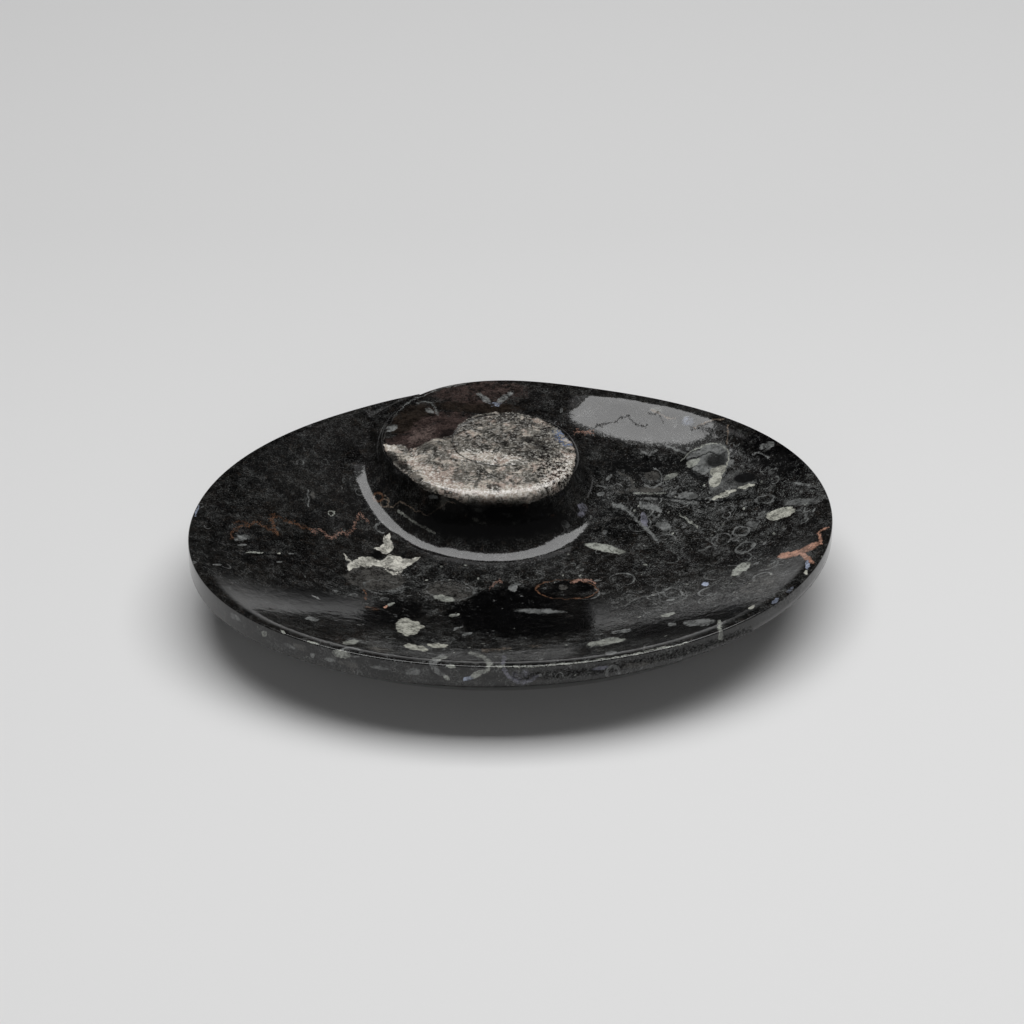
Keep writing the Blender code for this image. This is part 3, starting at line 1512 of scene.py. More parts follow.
@dataclass(frozen=True)
class Mottle:
    """A noise that shows as patches or specks.

    Attributes:
        grain: How the noise runs.
        start: Its value where the patches start.
        end: Its value where they are full.
        tone: Their colour.
        share: Their full strength.
    """

    grain: Grain
    start: float
    end: float
    tone: Tone = Tone.HASH
    share: float = 1.0

    def mask(self, shading: Shading, bias: Socket | None = None) -> Socket:
        """How much the patches cover each place.

        Args:
            shading: The group being written.
            bias: What is added to the noise.

        Returns:
            The mask.
        """
        noise = self.grain.noise(shading)
        if bias is not None:
            noise = shading.math("ADD", noise, bias)
        mask = shading.fade(noise, self.start, self.end)
        if self.share < 1.0:
            mask = shading.math("MULTIPLY", mask, self.share)
        return mask

    def over(
        self, shading: Shading, colour: object, bias: Socket | None = None
    ) -> Socket:
        """A colour with the patches laid over it.

        Args:
            shading: The group being written.
            colour: The colour.
            bias: What is added to the noise.

        Returns:
            The colour that shows.
        """
        return shading.paint(colour, self.mask(shading, bias), self.tone)


@dataclass(frozen=True)
class NoiseLines:
    """Curved lines where a noise passes a level.

    Attributes:
        grain: How the noise runs.
        level: The level.
        width: How far from the level a line has faded out.
    """

    grain: Grain
    level: float
    width: float

    def mask(self, shading: Shading) -> Socket:
        """How much the lines cover each place."""
        off = shading.math("SUBTRACT", self.grain.noise(shading), self.level)
        return shading.fade(shading.math("ABSOLUTE", off), self.width, 0.0)


# The pale broken shell left of the dish's floor, in three pieces.
BONE_LEFT = Patch(
    (362, 562.5),
    (
        (349.5, 562), (353, 561.5), (358, 559), (365, 557.5), (371, 556.5), (376, 560),
        (381, 561), (383, 564), (381, 566.5), (372, 565.3), (361, 565.3), (354, 568),
        (348.5, 571), (347, 569),
    ),
)
BONE_RIGHT = Patch(
    (397, 563),
    (
        (382, 560), (387.5, 556), (397, 556.5), (403, 559), (411, 559), (420.5, 557),
        (414, 562.5), (406, 567), (403, 570), (397, 575), (392, 574), (386, 570),
        (380.5, 567),
    ),
)
BONE_KNOB = Patch(
    (387.5, 546.5),
    (
        (374, 548.5), (380, 547), (384, 543), (385.5, 539), (384.5, 535.5),
        (388, 533.5), (391, 536), (390.5, 540), (393, 544), (393, 549), (390, 552.5),
        (385, 554), (380, 551),
    ),
    0.85,
)
# The calcite in the coil.
SPAR_OUTLINE = (
    (402, 450), (409, 451.5), (416, 448.5), (421, 445.5), (432, 440), (441, 437.5),
    (452, 436), (457, 426.5), (468.5, 418.5), (482, 414.2), (500, 412.8), (520, 414),
    (538, 418.5), (549, 423.5), (559, 429.5), (565, 436), (572, 444), (576, 454),
    (574, 467), (569, 482), (559, 491.5), (542.5, 498.2), (523, 504), (500, 507),
    (482, 506.4), (467, 505), (454, 498), (437.5, 493.5), (419, 487), (418, 480),
    (408, 474.5), (401, 467),
)
# The two large shells at the right.
TOOTH = Patch(
    (714, 463),
    (
        (681, 463), (686, 456.5), (699.7, 449.7), (701.5, 445.5), (713.5, 443),
        (725.5, 445.5), (729.8, 451.5), (729.8, 463.5), (725.5, 472), (718.5, 479),
        (711, 488), (708, 482), (710, 475), (709, 468), (700, 466), (690, 463),
    ),
    0.6,
)
TOOTH_TIP = Patch(
    (716, 474),
    (
        (711, 469), (716, 468), (726.5, 466.5), (721, 475), (711, 487.5), (709.5, 482),
        (712, 476),
    ),
    0.75,
)
HORN = Patch(
    (733, 486),
    (
        (725, 476), (732, 470.3), (741, 468.6), (749.5, 472), (744, 473), (752, 484),
        (758, 482.5), (749.5, 487.5), (735.7, 493.5), (722, 498), (711, 499),
        (720, 495), (727, 490),
    ),
    0.42,
)
CREAM_BLOB = Patch(
    (408, 627.5),
    (
        (398, 621), (412, 621), (420.5, 624), (425.5, 626.2), (419, 630), (410.6, 635),
        (400.7, 633), (396, 628.5), (396.5, 623.5),
    ),
)
PLUM_WEDGE = Patch(
    (428, 433),
    (
        (470, 416), (458, 430), (452, 437), (440, 442), (426, 447), (412, 450),
        (398, 447), (386, 443), (386, 438), (398, 436), (410, 430), (418, 421),
        (432, 415), (448, 413), (462, 413),
    ),
    0.85, 0.3,
)

# Soft stained patches in the dark stone, darkest first; one lilac spot is a painted
# reflection.
UNDER_MARKS: ByTone = {
    Tone.BLACK: (
        Spot((528, 613), (86, 27), 0, 0.97, 0.5),
        Spot((619, 521), (30, 24), -30, 0.5, 0.9),
        Spot((330, 606), (60, 12), -14, 0.8, 0.7),
        Spot((690, 621), (70, 12), 12, 0.8, 0.7),
        Spot((395, 612), (42, 14), 8, 0.7, 0.6),
        Spot((572, 587), (24, 7), 0, 0.9, 0.5),
        Spot((640, 465), (60, 12), 5, 0.6, 0.8),
        Spot((775, 452), (40, 22), -30, 0.7, 0.7),
    ),
    Tone.BROWN_DARK: (
        Spot((414, 419), (25, 13), 25, 0.9, 0.8),
        Spot((478, 407), (46, 6), -3, 0.9, 0.8),
        Spot((381, 650), (11, 3), -5, 0.9, 0.6),
    ),
    Tone.PLUM: (
        PLUM_WEDGE,
        Spot((478, 392), (54, 13), 0, 0.6, 0.8),
    ),
    Tone.ROSE: (
        Spot((422, 435), (15, 8), 25, 0.75, 0.8),
        Spot((505, 387), (18, 6), 0, 0.35, 0.8),
    ),
    Tone.HASH: (
        Spot((392, 428), (6.5, 3.5), 20, 0.7, 0.7),
        Spot((430, 411), (6, 2.4), -25, 0.5, 0.6),
        Spot((388, 588), (17, 6), -5, 0.45, 0.7),
        Spot((484, 398), (9, 3), -35, 0.7, 0.6),
        Spot((505, 397), (11, 3), 35, 0.7, 0.6),
        Spot((358, 641), (13, 2.4), -8, 0.6, 0.8),
        Spot((242, 538), (9, 3), 8, 0.6, 0.8),
        Spot((767, 446), (9, 4), 20, 0.5, 0.3),
        Spot((412, 672), (10, 4), -8, 0.45, 0.5),
    ),
    Tone.GRIT: (
        Spot((378, 579), (28, 11), -4, 0.8, 0.5),
        Spot((448, 591), (28, 11), -5, 0.65, 0.5),
        Spot((302, 648), (8, 3), -25, 0.9, 0.6),
        Spot((348, 664), (11, 3), -15, 0.9, 0.6),
        Spot((640, 664), (22, 3), 10, 0.6, 0.8),
        Spot((760, 585), (26, 10), 20, 0.5, 0.8),
    ),
    Tone.LILAC: (
        # A painted reflection: a dim grey-blue patch at the right of the boss's foot.
        Spot((582, 510), (6, 8), -15, 0.5, 0.5),
        Spot((520, 676), (16, 8), 0, 0.35, 0.6),
    ),
    Tone.BLUE: (
        Spot((495, 404), (8, 3), 0, 0.4, 0.5),
    ),
}
# Solid shells and other pale marks.
PALE_MARKS: ByTone = {
    Tone.HASH: (
        TOOTH,
        HORN,
        Spot((700.5, 470.5), (9, 5), -8, 0.8),
        Spot((688, 496), (11, 5), -5, 0.6),
        Spot((663, 526), (8.5, 4.5), -20, 0.7),
        Spot((651, 507), (10, 3), -8, 0.9),
        Spot((641, 505), (2.2, 4.5), 25, 0.9),
        Spot((651, 498.5), (7.5, 1.8), -4, 0.8),
        Spot((658, 510), (4.5, 2), -35, 0.8),
        Spot((652, 489.3), (14, 2.8), -4, 0.5),
        Spot((672, 624), (5, 1.4), 5, 0.8),
        Spot((801, 502), (20, 4), 4, 0.6, 0.8),
        Spot((801, 484), (10, 1.6), -6, 0.7),
        Spot((752, 524), (7, 3), 0, 0.6),
        Spot((467, 634), (6, 1.6), 15, 0.9),
        Spot((622, 631), (11, 2), 6, 0.7),
        Spot((699, 622.5), (17, 3.4), 5, 0.8),
        Spot((312, 618.8), (7, 2), -8, 0.9),
        Spot((316, 597), (5.5, 1), -28, 0.8),
        Spot((540, 611), (26, 2.6), -2, 0.7, 0.8),
        Spot((513.3, 587.7), (5, 4), 0, 1.0),
        Spot((243, 545), (4.5, 0.9), 0),
        Spot((291.5, 554), (2.6, 1), 0),
        Spot((278.6, 562.4), (3, 1), 5, 0.8),
        Spot((217, 564.8), (5, 0.9), -5, 0.8),
        Spot((312.5, 655), (3, 2.4), -30, 0.8),
        Spot((413, 672), (8, 4), 5, 0.7, 0.6),
        Spot((540, 676), (3, 2), 0, 0.8, 0.6),
        Spot((380, 668), (12, 2), -10, 0.6, 0.6),
        Spot((330, 660), (6, 2), -12, 0.7, 0.6),
        Spot((235, 617), (8, 2.4), -35, 0.6, 0.6),
        Spot((290, 646), (7, 2.4), -25, 0.6, 0.6),
        Spot((433, 497), (5, 3), -10, 0.6, 0.6),
    ),
    Tone.SALMON: (
        Spot((794, 553.5), (13, 2.6), 14, 0.8, 1.0),
        Spot((809, 547.5), (12, 3.2), 26, 0.8, 1.0),
        Spot((806, 557), (10, 2.8), -38, 0.75, 1.0),
        Spot((783, 556), (6, 2.4), 10, 0.7, 1.0),
        Spot((385.5, 606.5), (2, 1.2), 20),
    ),
    Tone.SHELL: (
        Spot((693, 462.5), (9, 4), 32, 0.6),
        Spot((671, 476.3), (9, 2.8), 22, 0.5),
        Spot((656, 409.5), (8, 3.5), 0, 0.45, 0.7),
        Spot((605, 548), (22, 4.2), -11, 0.75, 0.3),
        Spot((741, 569), (12.5, 4.3), 34, 0.8, 0.2),
        Spot((283, 631.5), (3.5, 1), -28, 0.8),
        Spot((313, 642.5), (6, 1.3), -20, 0.8),
        Spot((444, 598.5), (12, 3.2), -8, 0.7),
        Spot((454, 615), (6, 1.7), 10, 0.7),
        Spot((606, 642), (21, 3.3), 8, 0.8),
        Spot((668, 614.5), (9, 1.8), 14, 0.6),
        Spot((351, 642), (9, 2.6), 8, 0.7),
        Spot((391, 604), (4, 1.4), 25),
        Spot((254.5, 552.6), (10, 0.7), 0, 0.7),
        Spot((341, 654), (10, 4.2), -14, 0.8),
        Spot((264, 634), (3, 3.6), -30, 0.7),
        Spot((451, 666.5), (5, 2), -5, 0.8),
        Spot((440, 658), (9, 2.6), 12, 0.7),
        Spot((475, 675), (11, 3), 32, 0.8),
        Spot((446, 677.5), (2.4, 4.4), 50, 0.8),
    ),
    Tone.BLUE: (
        Spot((688, 421.5), (8, 6.5), 0, 0.42, 0.5),
        Spot((775, 601), (5, 2), 30, 0.5),
        Spot((790, 590), (5, 2), 35, 0.35),
        Spot((705.4, 584.3), (3.5, 2), 0),
        Spot((807.5, 564.5), (2, 5), -10),
        Spot((468, 678.5), (5, 2.6), 10),
    ),
    Tone.CREAM: (
        Spot((746, 486.5), (10, 1.8), 12, 0.8),
        Spot((724, 494.5), (13, 2.4), 22, 0.95),
        Spot((780.6, 513.5), (15.5, 5.4), 15, 1.0, 0.14),
        Spot((752, 607), (4, 1.6), 30, 0.6),
        Spot((806, 572.5), (2, 2), 0),
        TOOTH_TIP,
        CREAM_BLOB,
        Spot((416, 647.5), (13, 2.9), -9),
        Spot((437.7, 645.5), (11, 2.1), -1, 0.9),
        Spot((279, 553.7), (2, 1), 0),
    ),
    Tone.GRIT: (
        Spot((651.7, 476), (8, 4.5), -6, 1.0),
        Spot((649, 489.5), (15, 3), 0, 1.0),
        Spot((563, 587), (5, 2.6), -5),
        Spot((313, 495), (2.2, 3.5), 0),
    ),
    Tone.LILAC: (
        Spot((644, 520), (3.5, 9), 12, 0.9),
        Spot((600, 668), (10, 2.4), 8, 0.6, 0.6),
    ),
    Tone.BONE: (
        BONE_LEFT,
        BONE_RIGHT,
        BONE_KNOB,
    ),
}
# Dark holes and cracks in the shells and in the calcite, a blackened patch on the
# boss's front wall, and painted shade along the groove round the coil's disc.
DARK_HOLES_AND_SHADE: Marks = (
    # Painted shade: a thin dark line along the groove round the coil's disc.
    Ring((500, 440), (47.5, 26), 180, 0.7, thick=0.022, kept=-0.35),
    Spot((377, 555.5), (7, 4.5), 0, 0.9, 0.4),
    Spot((716.5, 460.5), (11, 7.6), 12, 0.88, 0.35),
    Spot((744.5, 478), (11.5, 5.2), 8, 0.95, 0.25),
    Spot((392, 457), (8, 4), -35, 0.85, 0.7),
    Spot((402, 465), (9, 3.4), -35, 0.85, 0.7),
    Spot((416, 477), (7, 3), -25, 0.7, 0.8),
    Spot((448, 434), (9, 5), 20, 0.7, 0.8),
    Spot((424, 462), (6, 4), 0, 0.5, 0.9),
    Spot((699, 477), (11, 4), -25, 0.8, 0.4),
    # Blackens the boss's front wall, down to the hollow at its foot.
    Spot((493, 520), (84, 22), 0, 0.97, 0.35),
    Streak(((634, 496), (665, 497), (690, 500), (720, 502), (757, 497)), 0.8, 0.4),
    Streak(((683, 463), (690, 470), (700, 474), (708, 480)), 0.9, 0.4),
    Streak(((688, 459), (700, 456), (710, 452), (718, 455)), 0.8, 0.4),
    Streak(((240, 556), (262, 553.5), (280, 555.5), (292, 560)), 0.5, 0.3),
    Spot((528, 440), (9, 3), -10, 0.85, 0.5),
    Spot((540, 446), (8, 4.5), -20, 0.75, 0.6),
    Spot((504.8, 444), (5, 2.6), -10, 0.8, 0.6),
    Spot((431, 446), (13, 4.5), 4, 0.55, 0.8),
    Spot((535, 480), (8, 3), 15, 0.4, 0.8),
    Spot((497, 474), (5, 3), -30, 0.4, 0.8),
)
# Cut edges of rounded shells.
RINGS: ByTone = {
    Tone.HASH: (
        Ring((425, 413), (11, 13), 60, 0.6, thick=0.13, kept=0.35),
        Ring((650.5, 477), (11.5, 9.5), -30, 0.9, thick=0.09, kept=-0.2),
        Ring((384, 587), (20, 7), -6, 0.6, thick=0.08),
        Ring((450, 590), (24, 9.5), -4, 0.5, thick=0.07),
        Ring((673, 593), (9.5, 5), -5, 0.9, thick=0.16),
        Ring((673, 595), (14, 8), 5, 0.5, thick=0.08),
        Ring((741, 531), (8.5, 4.6), 8, 0.9, thick=0.18),
        Ring((745, 547.5), (9.5, 4.6), 22, 0.9, thick=0.18),
        Ring((461, 665), (28, 12), 180, 0.9, thick=0.16, kept=0.55),
        Ring((383, 527.5), (7, 5), 180, 0.7, thick=0.18, kept=-0.2),
        Ring((712, 512), (12, 7), 0, 0.4, thick=0.14, kept=-0.4),
        Ring((765, 499), (9, 4), 10, 0.6, thick=0.2),
        Ring((700, 540), (18, 10), 15, 0.55, thick=0.07, kept=-0.3),
        Ring((668, 556), (11, 6), -20, 0.55, thick=0.1, kept=-0.5),
        Ring((727, 512), (9, 5.5), 30, 0.6, thick=0.12, kept=-0.4),
        Ring((676, 502), (13, 5), -8, 0.6, thick=0.1, kept=-0.3),
        Ring((792, 517), (14, 6), 10, 0.5, thick=0.1, kept=0.0),
    ),
    Tone.SHELL: (
        Ring((331, 513.2), (2.9, 2.4), 0, 0.9, thick=0.26),
        Ring((461, 665), (28, 12.5), 0, 0.8, thick=0.13, kept=0.25),
    ),
    Tone.GRIT: (
        Ring((375, 578), (27, 11), -4, thick=0.1),
        Ring((618, 482), (16, 9), -20, 0.9, thick=0.12, kept=-0.2),
        Ring((640, 590), (60, 26), 10, 0.5, thick=0.02, kept=0.3),
        Ring((630, 540), (30, 20), 150, 0.6, thick=0.03, kept=0.2),
    ),
    Tone.LILAC: (
        Ring((522, 664), (18, 19), -120, 1.0, thick=0.12, kept=0.1),
    ),
    Tone.TAN: (
        Ring((386.5, 500), (3, 4.5), 20, 0.8, thick=0.2, kept=-0.2),
        Ring((385, 503), (4, 4.5), 30, 0.8, thick=0.2),
    ),
    Tone.RUST: (
        Ring((567, 589.5), (30.5, 9.6), -1, 0.75, thick=0.04),
        Ring((378, 497), (5, 4), 0, 0.9, thick=0.25),
    ),
}
# Thin shells cut on edge, veins, and three painted highlights drawn as thin lines.
VEINS_AND_GLINTS: ByTone = {
    Tone.SHELL: (
        Streak(
            ((681, 461), (690, 452), (702, 446), (712, 443), (720, 443.6), (727, 450)),
            0.7, 0.2,
        ),
        # A painted highlight: a thin streak of reflection in the hollow at the boss's
        # foot.
        Streak(
            ((397, 510.5), (408, 517.5), (420, 525.5), (436, 533.5)),
            1.3, 0.1, strength=0.9,
        ),
        # A painted highlight: the bright line along the front rim's upper edge.
        Streak(
            (
                (488, 666.5), (520, 666.5), (544, 665.6), (577, 663), (600, 660),
                (619, 656.8), (640, 653), (657, 649), (675, 645.5), (691, 642),
            ),
            1.0, 0.1, strength=0.8,
        ),
        Streak(((633, 493), (650, 493.6), (666, 493.4)), 0.8, strength=0.7),
        Streak(((679, 514.5), (688, 520), (699, 527.5)), 1.6, strength=0.7),
        Streak(((719.5, 620), (720, 629), (721, 640)), 2.0, 0.5, True),
    ),
    Tone.CREAM: (
        Streak(
            ((727, 448), (729, 456), (726, 468), (718, 478), (708.5, 487)),
            0.7, 0.1, True,
        ),
    ),
    Tone.BONE: (
        Streak(((343.5, 554.5), (347, 558.5), (351, 561.5)), 1.2, 0.1),
    ),
    Tone.BLUE: (
        Streak(((199, 506), (196.5, 511), (195, 516)), 0.9, 0.2, True, 0.8),
    ),
    # A painted highlight: a white streak of reflection along the calcite's lower left
    # edge.
    Tone.WHITE: (
        Streak(
            ((418, 482), (430, 488), (444, 493), (458, 497.5)),
            0.9, 0.1, strength=0.9,
        ),
    ),
    Tone.TAN: (
        Streak(((650, 410), (656, 411.5), (662, 415), (668, 418), (676, 419)), 0.8, 0.8),
        Streak(((693, 428), (700, 425), (708, 421.5), (716, 419), (725, 419)), 0.7, 0.8),
        Streak(
            (
                (389, 507), (394, 506), (399, 502), (404, 502), (409, 506.5),
                (414, 510.5), (420, 512), (427, 515), (431, 513.5), (436, 510),
                (441, 507), (445, 503.5), (449, 501.5), (456, 504),
            ),
            0.7, 0.3,
        ),
        Streak(((481, 650.5), (495, 650), (512, 648)), 1.4, 0.8, strength=0.6),
        Streak(((529, 646.5), (542, 646)), 1.0, 0.8, strength=0.5),
        Streak(((727, 424), (728, 433), (727, 445)), 0.5, 0.6, True),
    ),
    Tone.PINK: (
        Streak(((573, 433), (577, 431), (582, 433), (590, 431.5), (595, 434)), 0.8, 2.0),
        Streak(
            (
                (309, 530), (315, 532), (319, 529.5), (323.5, 532), (327.5, 536),
                (331.5, 538), (338.5, 534), (342.5, 531), (346.5, 534), (350.5, 531),
                (354.5, 529),
            ),
            0.75, 2.4,
        ),
        Streak(((361, 512), (358, 518), (355, 522), (354.5, 529)), 0.7, 2.0, True),
        Streak(((360, 513), (363, 517), (369, 522)), 0.8, 2.2),
        Streak(
            ((489, 589), (493, 585.5), (495.5, 582), (499, 581), (503, 582.5)),
            0.8, 2.0,
        ),
        Streak(((571, 582), (580, 580.5), (588, 580), (596, 583)), 0.9, 0.8),
    ),
    Tone.HASH: (
        Streak(
            (
                (612, 505), (621, 505.5), (628, 511), (636, 519), (646, 528.5),
                (659, 542),
            ),
            2.2, 0.3,
        ),
        Streak(((665, 445), (675, 449), (686, 454)), 1.3, 0.3),
        Streak(((641, 452), (650, 454), (658, 450)), 1.3, 0.3),
        Streak(((667, 495), (673, 500), (684, 502.5), (697, 503.3)), 1.6),
        Streak(((752, 455), (760, 452), (765, 455), (770, 459)), 0.8, 0.8),
        Streak(((308, 489), (308.3, 507)), 0.7, 0.0, True, 0.7),
        Streak(((454, 629.5), (463, 626)), 0.9, 0.3),
        Streak(((625, 606), (635, 599), (652, 595), (662, 592)), 0.7, 0.5, strength=0.7),
        Streak(
            ((397, 412), (411, 401), (430, 392), (450, 386), (470, 382.5)),
            0.6, 0.1, strength=0.8,
        ),
    ),
    Tone.RUST: (
        Streak(
            (
                (232, 532), (237, 528), (243.5, 525.5), (250, 526.5), (256, 521),
                (261, 525), (266.5, 527.5), (272, 531), (279, 534),
            ),
            0.6, 2.0,
        ),
        Streak(((232, 523), (239, 521), (245, 522), (250, 525)), 0.5, 2.0),
        Streak(((232, 531), (232, 539)), 0.6, 1.6, True),
        Streak(
            ((272, 514), (272, 521), (274, 526), (276, 532), (278, 536)),
            1.0, 2.2, True,
        ),
        Streak(
            (
                (272, 516), (280, 516.5), (288, 521.5), (296, 523.5), (301, 526.8),
                (306, 526.8), (311, 531),
            ),
            0.7, 1.8, strength=0.9,
        ),
        Streak(((364, 589), (366, 594), (365, 601)), 1.0, 0.8, True, 0.7),
        Streak(((365, 607), (372, 608), (380, 610)), 1.0, 1.0, strength=0.5),
    ),
    Tone.SALMON: (
        Streak(((821, 545), (820.5, 537), (818.5, 532)), 1.4, 0.6, True),
        Streak(((818, 532), (823, 529.5), (829, 527.5)), 1.0, 0.6),
    ),
    Tone.GRIT: (
        Streak(((383, 452), (383, 440), (388, 426), (397, 412)), 0.55, 0.1, True),
    ),
}
# Where broken shells lie thickest.
CLUSTERS: Marks = (
    Spot((712, 496), (125, 58), 4, strength=1.0, soft=0.5),
    Spot((650, 520), (70, 45), -20, strength=0.8, soft=0.6),
    Spot((690, 580), (130, 40), 8, strength=0.55, soft=0.6),
    Spot((560, 590), (110, 34), 0, strength=0.5, soft=0.7),
    Spot((420, 590), (80, 26), -4, strength=0.6, soft=0.7),
    Spot((500, 655), (200, 24), 0, strength=0.5, soft=0.7),
)
# The calcite in the coil and the tongue of it at the left.
SPAR: Marks = (
    Patch((490, 461), SPAR_OUTLINE, soft=0.03),
    Patch(
        (409, 461),
        (
            (383, 444), (390, 444.5), (397, 445.5), (409, 450), (421, 455), (427, 474),
            (419, 483), (408, 474.5), (399.5, 468.5), (392, 459), (386, 450.5),
        ),
        soft=0.08,
    ),
)
# Parts of the calcite: the coil's own disc, its pale bands, specks and glints. The pale
# band along the front shoulder is partly a painted highlight.
COIL = Spot((505, 436), (56, 26), -6, soft=0.3)
PALE_BANDS_AND_HIGHLIGHT: Marks = (
    Spot((489, 457), (34, 6), -5, soft=0.7),
    # A pale band along the coil's front shoulder: partly pale calcite, partly a painted
    # highlight.
    Ring((495, 451), (42, 79), -90, thick=0.1, kept=0.1),
    Spot((390, 447), (9, 3), -15, soft=0.8),
)
SPECKS = Spot((556, 474), (22, 26), 30, soft=0.6)
BLUE_GLINTS = Spot((563, 438), (12, 6), -40, soft=0.4)
# Lines and patches that stay matt in the bright reflections.
DULL_MARKS: Marks = (
    Streak(
        (
            (583, 431), (590, 431), (597, 426), (607, 424), (616, 421.5), (621, 417),
            (629, 416.5), (632, 421), (636, 425), (645, 426.5), (648, 424),
        ),
        0.8, 1.4,
    ),
    Streak(((648, 414), (653, 414.5), (658, 412), (661, 418), (664, 423)), 0.8, 1.6),
    Streak(((690, 429), (700, 426), (709, 422.5), (718, 420), (730, 419)), 0.6, 1.6),
    # Matt patches that bound the reflections.
    Streak(
        (
            (558, 425), (582, 433), (598, 440), (617, 446), (637, 450), (663, 452),
            (687, 452), (702, 447), (714, 440),
        ),
        8.5, 0.2,
    ),
    Spot((751, 426), (42, 30), -25, soft=0.25),
    Spot((713, 447), (19, 10), 0, soft=0.3),
    Spot((700, 602), (112, 27), 8, strength=0.57, soft=0.4),
    Streak(
        ((510, 677), (580, 673), (640, 662), (700, 648), (755, 629)),
        6.0, 0.2, strength=0.6,
    ),
    Streak(
        ((725, 618), (755, 607), (775, 598), (790, 588), (802, 576), (808, 566)),
        6.0, 0.2,
    ),
    Spot((567, 400.5), (30, 12), 33, soft=0.25),
    Spot((386, 408), (40, 16), 25, soft=0.5),
    Streak(
        (
            (392, 541), (420, 555.5), (445, 565.5), (470, 569), (495, 570),
            (520, 568.5), (545, 564), (571, 555), (595, 541),
        ),
        6.0, 0.2, strength=0.9,
    ),
    Spot((352, 463), (13, 17), 0, soft=0.4),
)
LAYERS = (
    Layer("stains_and_reflection", UNDER_MARKS, 4.5, lumpy=True),
    Layer("shells", PALE_MARKS, 2.2),
    Layer("rings", RINGS, 6.0),
    Layer("veins_and_glints", VEINS_AND_GLINTS, 7.0),
)


@dataclass(frozen=True)
class ShellHash:
    """Finely broken shells, as curved lines in beds and specks between them.

    Attributes:
        lines: The curved lines.
        finer: Finer ones.
        finer_share: How strong the finer ones are.
        beds: Where the lines lie.
        specks: The specks.
        speck_share: How strong the specks are.
        sparse: How much of it all shows where shells are few.
        dense: How much more of it shows where they lie thickest.
    """

    lines: NoiseLines = NoiseLines(Grain(0.42, 3.0, 0.65, 1.4), 0.5, 0.022)
    finer: NoiseLines = NoiseLines(Grain(0.9, 3.0, 0.7, 1.0), 0.54, 0.03)
    finer_share: float = 0.8
    beds: Mottle = Mottle(Grain(0.21, 2.0, 0.6), 0.42, 0.62)
    specks: Mottle = Mottle(Grain(1.9, 2.0, 0.75, 0.3), 0.53, 0.7)
    speck_share: float = 0.6
    sparse: float = 0.38
    dense: float = 0.95

    def mask(self, shading: Shading, thick: Socket) -> Socket:
        """How much the broken shells cover each place.

        Args:
            shading: The group being written.
            thick: How thickly shells lie there.

        Returns:
            The mask.
        """
        lines = self.lines.mask(shading)
        finer = shading.math("MULTIPLY", self.finer.mask(shading), self.finer_share)
        lines = shading.math("MAXIMUM", lines, finer)
        lines = shading.math("MULTIPLY", lines, self.beds.mask(shading))
        specks = self.specks.mask(shading)
        found = shading.math("MULTIPLY_ADD", specks, self.speck_share, lines)
        amount = shading.math("MULTIPLY_ADD", thick, self.dense, self.sparse)
        return shading.math("MULTIPLY", found, amount)


@dataclass(frozen=True)
class Wear:
    """How bright the stone and its shells are from place to place.

    Attributes:
        cracks: Dark cracks.
        crack_depth: How far they darken.
        patches: Brighter patches.
        patch_share: How much brighter these are.
        plain: Brightness outside them.
        crumb_depth: How far the fine noise darkens.
        least: Least brightness.
    """

    cracks: NoiseLines = NoiseLines(Grain(0.5, 3.0, 0.65, 1.2), 0.48, 0.02)
    crack_depth: float = 0.6
    patches: Mottle = Mottle(Grain(0.35, 2.0, 0.6), 0.38, 0.6)
    patch_share: float = 0.5
    plain: float = 0.55
    crumb_depth: float = 2.6
    least: float = 0.12

    def brightness(self, shading: Shading, crumbs: Socket) -> Socket:
        """The brightness of each place.

        Args:
            shading: The group being written.
            crumbs: Fine noise about 0.

        Returns:
            What the colour is multiplied by.
        """
        cracks = self.cracks.mask(shading)
        patches = self.patches.mask(shading)
        bright = shading.math("MULTIPLY_ADD", patches, self.patch_share, self.plain)
        bright = shading.math("MULTIPLY_ADD", crumbs, -self.crumb_depth, bright)
        bright = shading.math("MULTIPLY_ADD", cracks, -self.crack_depth, bright)
        return shading.math("MAXIMUM", bright, self.least)


